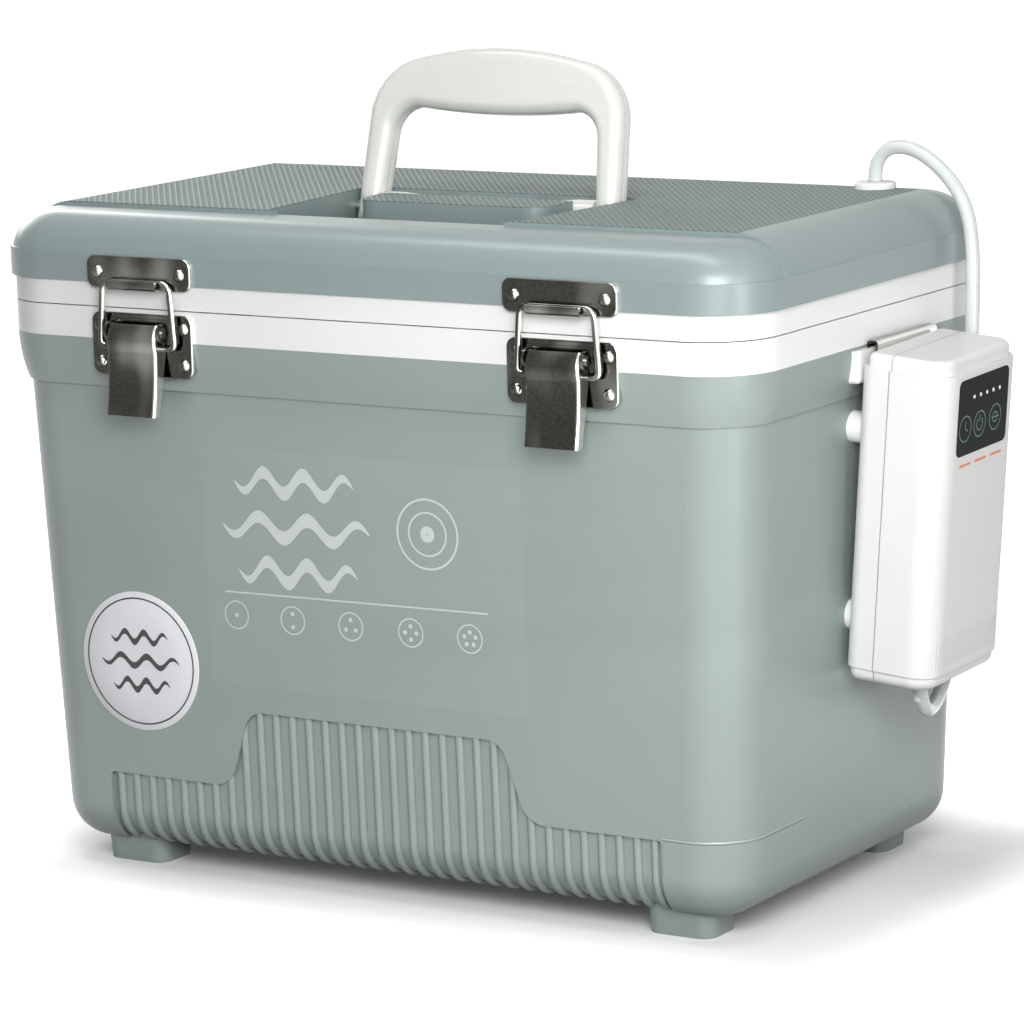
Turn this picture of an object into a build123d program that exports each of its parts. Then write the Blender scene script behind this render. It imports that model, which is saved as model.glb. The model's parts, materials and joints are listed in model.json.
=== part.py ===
from build123d import *
import os
from math import atan2, cos, degrees, pi, radians, sin, tan

os.makedirs("parts", exist_ok=True)

# Live-bait cooler: an insulated tub with a hinged lid, two draw latches, a folding
# carry handle, and an air pump hung on its right side that blows through a hose into
# an air stone. Millimetres, +Z up, the front faces -Y. The origin is on the floor,
# under the middle of the whole outline.

# ================================================================ driving sizes
# Rim bands of tub and lid
rim_width = 367.0
rim_depth = 222.8
rim_corner = 29.0
tub_band_height = 13.2
lid_band_height = 10.3
seal_gap = 0.5

# Tub shell
foot_height = 9.5
wall_height = 203.3
bottom_edge = 18.0
side_draft = 2.2
front_draft = 1.6
collar_height = 21.0
collar_inset = 3.9
collar_step = 1.3
shell_wall = 4.0
foot_length = 30.0
foot_width = 24.0
foot_spacing_x = 272.0
foot_spacing_y = 152.0
foot_draft = 5.0
foot_corner = 6.0

# Flutes low on the front wall
flute_count = 33
flute_pitch = 8.3
flute_width = 3.8
flute_height = 1.9
flute_pocket = 2.3
flute_field_width = 274.0
flute_low_top = 43.0
flute_high_top = 76.6
flute_high_half = 62.5
flute_low_half = 73.6
flute_high_radius = 10.0
flute_low_radius = 12.0
flute_end_radius = 2.0
flute_under_run = 9.0

# Tank inside the tub
rim_wall = 18.0
tank_draft = 1.5
tank_corner = 24.0
tank_floor_edge = 15.0
tank_floor_thickness = 18.5
liner_wall = 2.5

# Lid
skirt_height = 12.1
skirt_reach = 1.0
dome_height = 15.1
dome_setback = 0.8
dome_radius = 19.0
saddle_rise = 1.8
saddle_depth = 156.0
saddle_reach = 2.1
saddle_radius = 22.5
lid_wall = 3.0
plug_depth = 5.0
plug_clearance = 1.5
seal_width = 5.0
seal_height = 2.6
seal_proud = 0.2
seal_inset = 6.0
lid_floor = 4.0

# Well for the folded handle, and the island between its legs
well_front_width = 122.0
well_back_width = 138.0
well_front = 78.0
well_back = 10.2
well_depth = 18.8
well_corner = 6.0
island_width = 96.0
island_front = 34.0
island_back = 7.5
island_corner = 10.0
island_front_width = 92.0
island_back_corner = 4.0
rod_saddle_half = 19.0
rod_boss_radius = 7.5

# Carry handle, measured from its pivot
handle_pivot_y = 1.0
handle_pivot_drop = 7.3
handle_lean = 12.5
handle_base_half = 65.0
handle_top_half = 62.0
handle_shoulder = 59.0
handle_crown = 69.5
handle_corner = 26.0
hand_gap_base_half = 54.3
hand_gap_top_half = 50.3
hand_gap_shoulder = 45.0
hand_gap_crown = 41.3
hand_gap_corner = 12.0
handle_thickness = 14.0
handle_edge = 5.0
handle_shell_wall = 2.4
seam_groove = 0.9
seam_depth = 0.9
leg_solid = 14.0
rod_diameter = 5.0
rod_grip = 5.0
sleeve_inner_half = 22.0
sleeve_tip_radius = 5.2
sleeve_radius = 6.8
sleeve_outer_half = 57.0
sleeve_face_half = 53.0
sleeve_spigot_radius = 4.4
sleeve_shoulder_half = 44.0
running_clearance = 0.06
running_gap = 0.3

# Draw latches
latch_spacing = 205.0
plate_thickness = 1.6
plate_edge = 0.7
keeper_width = 53.0
keeper_height = 13.6
base_width = 51.3
base_height = 26.5
base_top_drop = 1.6
plate_corner = 4.0
pad_width = 47.0
pad_height = 13.0
ear_spacing = 27.0
ear_thickness = 1.4
ear_radius = 3.9
lever_width = 25.0
lever_thickness = 1.2
lever_tail = 34.8
lever_edge = 1.6
lever_pin_diameter = 3.0
hood_rise = 3.3
hood_reach = 1.8
hood_bulge = 0.4
crease_reach = 4.1
crease_drop = 7.6
crease_radius = 4.0
tail_reach = 6.6
tail_hollow = 0.7
tail_flange = 4.0
flange_depth = 3.2
flange_drop = 10.0
bead_length = 33.0
bead_height = 2.0
bead_rise = 0.6
bead_drop = 3.1
bail_diameter = 2.7
bail_offset = 7.0
bail_lead = 8.0
bail_length = 27.5
bail_top_width = 34.0
bail_foot_width = 38.0
bail_foot_reach = 10.3
bail_corner = 4.5
bail_foot_corner = 2.8
hook_width = 25.0
hook_bend = 1.9
hook_play = 1.2
hook_back_play = 0.5
hook_height = 1.0
keeper_top_drop = 0.6
keeper_screw_spacing = 41.8
base_screw_spacing_x = 42.6
base_screw_spacing_z = 15.2
pin_head = 4.2
pin_head_height = 0.8
screw_head = 5.4
screw_head_height = 1.8
screw_shank = 3.0
screw_grip = 5.5

# Rear hinges
hinge_spacing = 205.0
knuckle_diameter = 7.0
knuckle_clearance = 0.3
hinge_pin_diameter = 3.5
leaf_width = 50.0
leaf_height = 18.0
leaf_thickness = 1.5
leaf_setback = 4.2
knuckle_gap = 0.4
knuckle_count = 5
leaf_screw_spacing = 32.0
leaf_corner = 2.5

# Air pump
pump_width = 69.0
pump_thickness = 39.5
pump_height = 136.8
pump_lean = 5.0
pump_swing = 1.4
pump_gap = 4.7
pump_y = 13.3
pump_top_drop = 0.2
pump_front_corner = 11.0
pump_back_corner = 6.0
pump_wall = 2.2
pump_split = 13.5
top_cap_height = 6.0
top_cap_setback = 2.0
bottom_cap_height = 6.0
bottom_cap_setback = 1.2
panel_width = 45.0
panel_height = 31.5
panel_top_drop = 8.6
panel_shift = -0.2
panel_depth = 1.0
panel_corner = 3.0
panel_proud = 0.2
cap_ledge = 2.0
top_cap_edge = 2.5
bottom_cap_edge = 4.0
led_count = 5
led_first = 0.3
led_step = 0.129
led_rise = 0.74
led_diameter = 1.6
led_length = 1.1
led_proud = 0.2
board_width = 56.0
board_height = 30.0
board_thickness = 1.6
board_post = 4.0
board_setback = 3.0
board_gap = 1.0
cell_diameter = 18.2
cell_pitch = 19.0
cell_tray = 1.0
cell_length = 62.0
cell_low = 52.0
motor_base_depth = 26.0
motor_base_width = 48.0
motor_base_height = 20.0
motor_diameter = 24.0
motor_length = 18.0
bumper_diameter = 13.0
bumper_half = 22.0
bumper_low = 24.6
bumper_high = 103.0
barb_out = 24.0
barb_across = -12.0
barb_flange = 8.0
barb_flange_height = 1.6
barb_reach = 10.0

# Pump bracket and clip
bracket_reach = 186.4
bracket_depth = 8.4
bracket_width = 73.0
bracket_y = 15.5
bracket_corner = 2.0
bracket_low_drop = 14.8
bracket_top_drop = 1.3
slot_width = 1.4
slot_depth = 11.5
slot_play = 0.5
clip_slot_x = 184.7
clip_y = 17.5
clip_width = 53.0
clip_thickness = 1.0
clip_inner_leg = 11.0
clip_outer_leg = 26.0
clip_rise = 1.4
clip_bend = 1.0

# Hose
hose_diameter = 6.0
hose_bore = 4.0
grommet_x = 145.0
grommet_y = 76.0
grommet_flange = 17.4
grommet_height = 2.6
grommet_edge = 1.0
hose_split_drop = 2.2
stone_diameter = 18.0
stone_length = 30.0
stone_edge = 3.0
stone_neck = 5.0

# ================================================================ levels and planes
wall_corner = rim_corner - collar_inset - collar_step
underside_z = foot_height
collar_z = underside_z + wall_height
band_z = collar_z + collar_height
parting_z = band_z + tub_band_height
lid_z = parting_z + seal_gap
skirt_z = lid_z + lid_band_height
skirt_top_z = skirt_z + skirt_height
shoulder_z = skirt_top_z + dome_height
lid_top_z = shoulder_z + saddle_rise
tank_floor_z = underside_z + tank_floor_thickness
collar_radius = (collar_height**2 + collar_inset**2) / (2 * collar_inset)
collar_turn = degrees(atan2(collar_height, collar_radius - collar_inset))
collar_root = collar_inset + collar_step + shell_wall / 2
pad_z = band_z - pad_height
panel_mid = pump_height - panel_top_drop - panel_height / 2
bracket_low_z = band_z - bracket_low_drop
bracket_high_z = band_z - bracket_top_drop
hose_split_z = lid_z + hose_split_drop
inner_hose_z = lid_z - plug_depth

# Middle of the tub, seen from the middle of the whole outline
pump_reach = rim_width / 2 + pump_gap + pump_thickness * cos(radians(pump_lean))
tub_x = (rim_width / 2 + saddle_reach - pump_reach) / 2
latch_reach = (rim_depth / 2 + skirt_reach + plate_thickness + hook_back_play + bail_diameter / 2
               + bail_offset * sin(radians(bail_lead)) + tail_reach)
hinge_reach = rim_depth / 2 + knuckle_clearance + knuckle_diameter
tub_y = (latch_reach - hinge_reach) / 2


def level(height):
    return Plane(origin=(tub_x, tub_y, height))


def upright(depth):
    return Plane(origin=(tub_x, tub_y + depth, 0), x_dir=(1, 0, 0), z_dir=(0, -1, 0))


def crosswise(offset):
    return Plane(origin=(tub_x + offset, tub_y, 0), x_dir=(0, 1, 0), z_dir=(1, 0, 0))


def wall_half_width(height):
    return rim_width / 2 - collar_inset - collar_step - (collar_z - height) * tan(radians(side_draft))


def wall_half_depth(height):
    return rim_depth / 2 - collar_inset - collar_step - (collar_z - height) * tan(radians(front_draft))


def tapered_block(top_width, top_depth, drafts, low, high, corner, floor_edge):
    # Block whose four sides lean in towards the bottom, with rounded corners and floor
    side_lean, front_lean = (tan(radians(angle)) for angle in drafts)
    drop = high - low
    with BuildPart() as block:
        with BuildSketch(level(low)):
            Rectangle(top_width - 2 * drop * side_lean, top_depth - 2 * drop * front_lean)
        with BuildSketch(level(high)):
            Rectangle(top_width, top_depth)
        loft()
        slanted = block.edges().filter_by(lambda edge: abs((edge % 0.5).Z) > 0.5)
        fillet(slanted, corner)
        fillet(block.edges().group_by(Axis.Z)[0], floor_edge)
    return block.part


def wall_block(inset):
    # The tub's outer form, drawn in by an inset on every side and below
    return tapered_block(2 * (wall_half_width(band_z) - inset), 2 * (wall_half_depth(band_z) - inset),
                         (side_draft, front_draft), underside_z + inset, band_z,
                         wall_corner - inset, bottom_edge - inset)


def tank_block(wall, high):
    # The tank's form, grown by a wall on every side and below
    lean = 2 * (high - parting_z) * tan(radians(tank_draft))
    return tapered_block(rim_width - 2 * (rim_wall - wall) + lean, rim_depth - 2 * (rim_wall - wall) + lean,
                         (tank_draft, tank_draft), tank_floor_z - wall, high,
                         tank_corner + wall, tank_floor_edge + wall)


def rim_slab(inset, low, high):
    # Rounded rectangle parallel to the rim bands
    with BuildPart() as slab:
        with BuildSketch(level(low)):
            RectangleRounded(rim_width - 2 * inset, rim_depth - 2 * inset, rim_corner - inset)
        extrude(amount=high - low)
    return slab.part


# ================================================================ screws
front_skirt_y = -rim_depth / 2 - skirt_reach
keeper_low_z = skirt_top_z - keeper_top_drop - keeper_height
keeper_mid_z = keeper_low_z + keeper_height / 2
base_mid_z = parting_z - base_top_drop - base_height / 2
hinge_y = rim_depth / 2 + knuckle_clearance + knuckle_diameter / 2
hinge_z = (parting_z + lid_z) / 2
tub_leaf_mid_z = hinge_z - leaf_setback - leaf_height / 2
lid_leaf_mid_z = hinge_z + leaf_setback + leaf_height / 2


def screw_group(spots, seat, facing):
    # Domed screws at (x, z) spots on an upright seat; they face the front (-1) or back (1)
    with BuildPart() as group:
        for spot_x, spot_z in spots:
            seat_point = Vector(tub_x + spot_x, tub_y + seat, spot_z)
            with BuildSketch(Plane(origin=seat_point, x_dir=(0, facing, 0), z_dir=(1, 0, 0))):
                with BuildLine():
                    crown = ThreePointArc((screw_head_height, 0),
                                          (screw_head_height * 0.8, screw_head * 0.28), (0, screw_head / 2))
                    Polyline(crown @ 1, (0, screw_shank / 2), (-screw_grip, screw_shank / 2),
                             (-screw_grip, 0), crown @ 0)
                make_face()
            revolve(axis=Axis(seat_point, (0, facing, 0)))
    return group.part


def pairs(spacing, half_step, heights):
    # Screw spots: left and right of each middle, at the given heights
    return [(middle + step, height) for middle in (-spacing / 2, spacing / 2)
            for step in (-half_step, half_step) for height in heights]


keeper_screws = screw_group(pairs(latch_spacing, keeper_screw_spacing / 2, (keeper_mid_z,)),
                            front_skirt_y - plate_thickness, -1)
keeper_screws.label = "keeper_screws"
export_step(keeper_screws, "parts/keeper_screws.step")

latch_base_screws = screw_group(
    pairs(latch_spacing, base_screw_spacing_x / 2,
          (base_mid_z - base_screw_spacing_z / 2, base_mid_z + base_screw_spacing_z / 2)),
    -rim_depth / 2 - plate_thickness, -1)
latch_base_screws.label = "latch_base_screws"
export_step(latch_base_screws, "parts/latch_base_screws.step")

hinge_tub_screws = screw_group(pairs(hinge_spacing, leaf_screw_spacing / 2, (tub_leaf_mid_z,)),
                               rim_depth / 2 + leaf_thickness, 1)
hinge_tub_screws.label = "hinge_tub_screws"
export_step(hinge_tub_screws, "parts/hinge_tub_screws.step")

hinge_lid_screws = screw_group(pairs(hinge_spacing, leaf_screw_spacing / 2, (lid_leaf_mid_z,)),
                               rim_depth / 2 + skirt_reach + leaf_thickness, 1)
hinge_lid_screws.label = "hinge_lid_screws"
export_step(hinge_lid_screws, "parts/hinge_lid_screws.step")

# ================================================================ tub shell
# Collar: a convex roll that draws in below the band, then steps to the wall
with BuildSketch(level(band_z)) as rim_outline:
    RectangleRounded(rim_width, rim_depth, rim_corner)
rim_path = rim_outline.sketch.face().outer_wire()
path_start = Plane(origin=rim_path @ 0, x_dir=Vector(0, 0, 1).cross(rim_path % 0), z_dir=rim_path % 0)
with BuildPart() as collar:
    with BuildSketch(path_start):
        with BuildLine():
            bulge = JernArc(start=(0, 0), tangent=(0, -1), radius=collar_radius, arc_size=collar_turn)
            Polyline(bulge @ 1, (collar_root, -collar_height), (collar_root, 0), (0, 0))
        make_face()
    sweep(path=rim_path)

# One flute rib, swept down the front wall, round the bottom edge and under the tub
front_face = -wall_half_depth(underside_z)
rib_top = flute_high_top + flute_width
rib_root = shell_wall / 4
with BuildLine(crosswise(0)) as wall_line:
    FilletPolyline(
        (-wall_half_depth(rib_top) + flute_pocket, rib_top),
        (front_face + flute_pocket, underside_z + flute_pocket),
        (front_face + bottom_edge + flute_under_run, underside_z + flute_pocket),
        radius=bottom_edge - flute_pocket,
    )
rib_path = wall_line.wires()[0]
rib_start = Plane(origin=rib_path @ 0, x_dir=(1, 0, 0), z_dir=rib_path % 0)
with BuildPart() as flute_rib:
    with BuildSketch(rib_start):
        with BuildLine():
            crest = ThreePointArc((-flute_width / 2, 0), (0, flute_height), (flute_width / 2, 0))
            Polyline(crest @ 1, (flute_width / 2, -rib_root), (-flute_width / 2, -rib_root), crest @ 0)
        make_face()
    sweep(path=rib_path)

# The flute field on the front: a stepped top edge, a shallow pocket, and the ribs in it
field_half = flute_field_width / 2
under_depth = front_face + bottom_edge + flute_under_run
with BuildPart() as flute_field:
    with BuildSketch(upright(under_depth)):
        with BuildLine():
            outline = FilletPolyline(
                (-field_half, 0),
                (-field_half, flute_low_top),
                (-flute_low_half, flute_low_top),
                (-flute_high_half, flute_high_top),
                (flute_high_half, flute_high_top),
                (flute_low_half, flute_low_top),
                (field_half, flute_low_top),
                (field_half, 0),
                radius=[flute_end_radius, flute_low_radius, flute_high_radius,
                        flute_high_radius, flute_low_radius, flute_end_radius],
            )
            Line(outline @ 1, outline @ 0)
        make_face()
    extrude(amount=bottom_edge + flute_under_run + 2 * collar_inset)
with BuildPart() as flute_space:
    add(flute_field.part)
    add(wall_block(flute_pocket), mode=Mode.SUBTRACT)
with BuildPart() as flute_ribs:
    with Locations(*[(flute_pitch * (index - (flute_count - 1) / 2), 0, 0) for index in range(flute_count)]):
        add(flute_rib.part)
    add(flute_field.part, mode=Mode.INTERSECT)

shell_hollow = wall_block(shell_wall)
with BuildPart() as tub_screws:
    add(latch_base_screws)
    add(hinge_tub_screws)
with BuildPart() as tub_shell:
    add(wall_block(0))
    add(collar.part)
    for side, spacing in ((-1, latch_spacing), (1, hinge_spacing)):
        with BuildSketch(upright(side * rim_depth / 2)):
            with Locations((-spacing / 2, pad_z), (spacing / 2, pad_z)):
                Rectangle(pad_width, pad_height, align=(Align.CENTER, Align.MIN))
        extrude(amount=side * collar_root)
    add(flute_space.part, mode=Mode.SUBTRACT)
    add(flute_ribs.part)
    with BuildSketch(level(0)):
        with GridLocations(foot_spacing_x, foot_spacing_y, 2, 2):
            RectangleRounded(foot_length, foot_width, foot_corner)
    extrude(amount=foot_height + shell_wall, taper=-foot_draft)
    add(shell_hollow, mode=Mode.SUBTRACT)
    add(tub_screws.part, mode=Mode.SUBTRACT)
tub_shell.part.label = "tub_shell"
export_step(tub_shell.part, "parts/tub_shell.step")

# ================================================================ tub liner and foam
# The liner is one white moulding: tank, deck and the rim band that caps the shell
with BuildPart() as tub_filling:
    add(shell_hollow)
    add(rim_slab(liner_wall, band_z, parting_z - liner_wall))
with BuildPart() as tub_foam:
    add(tub_filling.part)
    add(tank_block(liner_wall, parting_z), mode=Mode.SUBTRACT)
    add(tub_screws.part, mode=Mode.SUBTRACT)
tub_foam.part.label = "tub_foam"
export_step(tub_foam.part, "parts/tub_foam.step")

with BuildPart() as tub_liner:
    add(rim_slab(0, band_z, parting_z))
    add(rim_slab(liner_wall, band_z, parting_z - liner_wall), mode=Mode.SUBTRACT)
    add(tank_block(liner_wall, parting_z))
    add(tank_block(0, parting_z + seal_gap), mode=Mode.SUBTRACT)
    add(tub_screws.part, mode=Mode.SUBTRACT)
tub_liner.part.label = "tub_liner"
export_step(tub_liner.part, "parts/tub_liner.step")

# ================================================================ lid shell
well_floor_z = lid_top_z - well_depth
pivot_z = lid_top_z - handle_pivot_drop
rod_half = well_back_width / 2 + rod_grip


def lid_form(inset, low):
    # The lid's outer form above its band: dome, skirt and the saddle across the top
    with BuildPart() as form:
        with BuildSketch(level(low)):
            RectangleRounded(rim_width + 2 * (saddle_reach - dome_setback - inset),
                             rim_depth + 2 * (skirt_reach - dome_setback - inset),
                             rim_corner + skirt_reach - dome_setback - inset)
        extrude(amount=shoulder_z - inset - low)
        fillet(form.faces().sort_by(Axis.Z)[-1].edges(), dome_radius - inset)
        with BuildSketch(level(low)):
            RectangleRounded(rim_width + 2 * (saddle_reach - inset),
                             rim_depth + 2 * (skirt_reach - inset), rim_corner + skirt_reach - inset)
        extrude(amount=skirt_top_z - inset - low)
        with BuildSketch(upright(-saddle_depth / 2 + inset)):
            with BuildLine():
                half = rim_width / 2 + saddle_reach - inset
                ridge = FilletPolyline((-half, low), (-half, lid_top_z - inset), (half, lid_top_z - inset),
                                       (half, low), radius=saddle_radius - inset)
                Line(ridge @ 1, ridge @ 0)
            make_face()
        extrude(amount=2 * inset - saddle_depth)
    return form.part


def well_block(wall, low):
    # The well that takes the folded handle, grown by a wall on every side
    with BuildPart() as well:
        with BuildSketch(level(low)) as mouth:
            with BuildLine():
                Polyline((-well_front_width / 2 - wall, -well_front - wall),
                         (well_front_width / 2 + wall, -well_front - wall),
                         (well_back_width / 2 + wall, well_back + wall),
                         (-well_back_width / 2 - wall, well_back + wall), close=True)
            make_face()
            fillet(mouth.vertices(), well_corner + wall)
        extrude(amount=lid_top_z - low)
    return well.part


def island_block(inset):
    # The island that stands in the well between the handle's legs
    with BuildPart() as island:
        with BuildSketch(level(well_floor_z - inset)) as top:
            with BuildLine():
                Polyline((-island_front_width / 2 + inset, -island_front + inset),
                         (island_front_width / 2 - inset, -island_front + inset),
                         (island_width / 2 - inset, -island_back - inset),
                         (-island_width / 2 + inset, -island_back - inset), close=True)
            make_face()
            fillet(top.vertices().group_by(Axis.Y)[0], island_corner - inset)
            fillet(top.vertices().group_by(Axis.Y)[-1], island_back_corner - inset)
        extrude(amount=lid_top_z - well_floor_z)
    return island.part


with BuildPart() as lid_hollow:
    add(lid_form(lid_wall, skirt_z))
    add(well_block(lid_wall, well_floor_z - lid_wall), mode=Mode.SUBTRACT)
    add(island_block(lid_wall))
    # Bosses that hold the rod's ends, just outside the well
    for side in (-1, 1):
        with BuildSketch(crosswise(side * well_back_width / 2)):
            with Locations((handle_pivot_y, pivot_z)):
                Circle(rod_boss_radius)
        extrude(amount=side * (rod_grip + lid_wall), mode=Mode.SUBTRACT)
    with BuildSketch(level(skirt_z)):
        with Locations((grommet_x, grommet_y)):
            Circle(hose_diameter / 2 + lid_wall)
    extrude(amount=lid_top_z - skirt_z, mode=Mode.SUBTRACT)

with BuildPart() as lid_shell:
    add(lid_form(0, skirt_z))
    add(well_block(0, well_floor_z), mode=Mode.SUBTRACT)
    add(island_block(0))
    # Saddle for the rod, between the handle's two sleeves
    with BuildSketch(level(well_floor_z - lid_wall / 2)):
        with Locations((0, (well_back - island_back) / 2)):
            Rectangle(2 * rod_saddle_half, well_back + island_back + lid_wall)
    extrude(amount=shoulder_z - well_floor_z + lid_wall / 2)
    add(lid_hollow.part, mode=Mode.SUBTRACT)
    with BuildSketch(crosswise(-rod_half)):
        with Locations((handle_pivot_y, pivot_z)):
            Circle(rod_diameter / 2)
    extrude(amount=2 * rod_half, mode=Mode.SUBTRACT)
    with BuildSketch(level(skirt_z)):
        with Locations((grommet_x, grommet_y)):
            Circle(hose_diameter / 2)
    extrude(amount=lid_top_z - skirt_z, mode=Mode.SUBTRACT)
    add(keeper_screws, mode=Mode.SUBTRACT)
    add(hinge_lid_screws, mode=Mode.SUBTRACT)
lid_shell.part.label = "lid_shell"
export_step(lid_shell.part, "parts/lid_shell.step")

# ================================================================ lid liner, foam and seal
plug_inset = rim_wall + plug_clearance
with BuildPart() as lid_pan:
    add(rim_slab(liner_wall, lid_z + lid_floor, skirt_z))
    with BuildSketch(level(lid_z - plug_depth + lid_floor)):
        RectangleRounded(rim_width - 2 * (plug_inset + lid_floor), rim_depth - 2 * (plug_inset + lid_floor),
                         tank_corner - plug_clearance - lid_floor)
    extrude(amount=plug_depth)
    with BuildSketch(level(lid_z - plug_depth)):
        with Locations((grommet_x, grommet_y)):
            Circle(hose_diameter / 2 + lid_wall)
    extrude(amount=skirt_z - lid_z + plug_depth, mode=Mode.SUBTRACT)

with BuildPart() as lid_seal:
    with BuildSketch(level(lid_z - seal_proud)):
        for inset, mode in ((seal_inset, Mode.ADD), (seal_inset + seal_width, Mode.SUBTRACT)):
            RectangleRounded(rim_width - 2 * inset, rim_depth - 2 * inset, rim_corner - inset, mode=mode)
    extrude(amount=seal_height)
lid_seal.part.label = "lid_seal"
export_step(lid_seal.part, "parts/lid_seal.step")

with BuildPart() as lid_liner:
    add(rim_slab(0, lid_z, skirt_z))
    with BuildSketch(level(lid_z - plug_depth)):
        RectangleRounded(rim_width - 2 * plug_inset, rim_depth - 2 * plug_inset, tank_corner - plug_clearance)
    extrude(amount=plug_depth)
    add(lid_pan.part, mode=Mode.SUBTRACT)
    add(lid_seal.part, mode=Mode.SUBTRACT)
    with BuildSketch(level(lid_z - plug_depth)):
        with Locations((grommet_x, grommet_y)):
            Circle(hose_diameter / 2)
    extrude(amount=skirt_z - lid_z + plug_depth, mode=Mode.SUBTRACT)
lid_liner.part.label = "lid_liner"
export_step(lid_liner.part, "parts/lid_liner.step")

with BuildPart() as lid_foam:
    add(lid_hollow.part)
    add(lid_pan.part)
    add(keeper_screws, mode=Mode.SUBTRACT)
    add(hinge_lid_screws, mode=Mode.SUBTRACT)
lid_foam.part.label = "lid_foam"
export_step(lid_foam.part, "parts/lid_foam.step")

# ================================================================ carry handle
handle_foot = Vector(tub_x, tub_y + handle_pivot_y, pivot_z)
handle_front = Vector(0, -cos(radians(handle_lean)), sin(radians(handle_lean)))
leg_end = handle_thickness / 2


with BuildPart() as sleeve_space:
    with BuildSketch(crosswise(-handle_base_half)):
        with Locations((handle_pivot_y, pivot_z)):
            Circle(rod_diameter / 2 + running_clearance)
    extrude(amount=2 * handle_base_half)
    with BuildSketch(crosswise(-sleeve_outer_half)):
        with Locations((handle_pivot_y, pivot_z)):
            Circle(sleeve_spigot_radius)
    extrude(amount=2 * sleeve_outer_half)
rod_bore = sleeve_space.part


def handle_plane(depth):
    # Parallel to the handle's middle plane: x across, y up along the legs
    return Plane(origin=handle_foot + handle_front * depth, x_dir=(1, 0, 0), z_dir=handle_front)


# Outline of the handle in its own plane
with BuildSketch() as handle_outline:
    with BuildLine():
        Line((-handle_base_half, -leg_end), (-handle_top_half, handle_shoulder))
        ThreePointArc((-handle_top_half, handle_shoulder), (0, handle_crown),
                      (handle_top_half, handle_shoulder))
        Polyline((handle_top_half, handle_shoulder), (handle_base_half, -leg_end),
                 (-handle_base_half, -leg_end))
    make_face()
    fillet(handle_outline.vertices().group_by(Axis.Y)[-1], handle_corner)
with BuildSketch() as hand_gap:
    with BuildLine():
        Polyline((-hand_gap_top_half, hand_gap_shoulder), (-hand_gap_base_half, -leg_end),
                 (hand_gap_base_half, -leg_end), (hand_gap_top_half, hand_gap_shoulder))
        ThreePointArc((-hand_gap_top_half, hand_gap_shoulder), (0, hand_gap_crown),
                      (hand_gap_top_half, hand_gap_shoulder))
    make_face()
    fillet(hand_gap.vertices().group_by(Axis.Y)[-1], hand_gap_corner)

for name, side in (("handle_front_shell", 1), ("handle_back_shell", -1)):
    with BuildPart() as half_handle:
        with BuildSketch(handle_plane(side * seam_groove / 2)):
            add(handle_outline.sketch)
            add(hand_gap.sketch, mode=Mode.SUBTRACT)
        extrude(amount=side * (handle_thickness - seam_groove) / 2)
        fillet(half_handle.faces().sort_by(Axis(handle_foot, handle_front * side))[-1].edges(), handle_edge)
        # A lip closes the joint inside the seam groove
        with BuildSketch(handle_plane(0)):
            add(handle_outline.sketch)
            add(hand_gap.sketch, mode=Mode.SUBTRACT)
            offset(amount=-seam_depth)
        extrude(amount=side * seam_groove)
        # The grip is hollow above the legs' solid feet
        with BuildSketch(handle_plane(0)):
            add(handle_outline.sketch)
            add(hand_gap.sketch, mode=Mode.SUBTRACT)
            offset(amount=-handle_shell_wall)
            Rectangle(3 * handle_base_half, 2 * leg_solid, mode=Mode.SUBTRACT)
        extrude(amount=side * (handle_thickness / 2 - handle_shell_wall), mode=Mode.SUBTRACT)
        add(rod_bore, mode=Mode.SUBTRACT)
    half_handle.part.label = name
    export_step(half_handle.part, f"parts/{name}.step")

# Sleeves turn with the legs on the rod and narrow towards the middle
rod_axis = Axis((tub_x, tub_y + handle_pivot_y, pivot_z), (1, 0, 0))
rod_plane = Plane(origin=(tub_x, tub_y + handle_pivot_y, pivot_z), x_dir=(1, 0, 0), z_dir=(0, -1, 0))
for name, side in (("left_handle_sleeve", -1), ("right_handle_sleeve", 1)):
    with BuildPart() as sleeve:
        with BuildSketch(rod_plane):
            with BuildLine():
                bore = rod_diameter / 2 + running_clearance
                Polyline((side * sleeve_inner_half, bore), (side * sleeve_outer_half, bore),
                         (side * sleeve_outer_half, sleeve_spigot_radius),
                         (side * sleeve_face_half, sleeve_spigot_radius),
                         (side * sleeve_face_half, sleeve_radius),
                         (side * sleeve_shoulder_half, sleeve_radius),
                         (side * sleeve_inner_half, sleeve_tip_radius), close=True)
            make_face()
        revolve(axis=rod_axis)
    sleeve.part.label = name
    export_step(sleeve.part, f"parts/{name}.step")

with BuildPart() as handle_rod:
    with BuildSketch(crosswise(-rod_half)):
        with Locations((handle_pivot_y, pivot_z)):
            Circle(rod_diameter / 2)
    extrude(amount=2 * rod_half)
handle_rod.part.label = "handle_rod"
export_step(handle_rod.part, "parts/handle_rod.step")

# ================================================================ draw latches
wire_radius = bail_diameter / 2
keeper_front_y = front_skirt_y - plate_thickness
base_front_y = -rim_depth / 2 - plate_thickness
bail_y = keeper_front_y - hook_back_play - wire_radius
bail_top_z = keeper_low_z + plate_thickness + running_gap + wire_radius
bail_foot_z = bail_top_z - bail_length
lever_pivot_y = bail_y - bail_offset * sin(radians(bail_lead))
lever_pivot_z = bail_foot_z + bail_offset * cos(radians(bail_lead))

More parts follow.
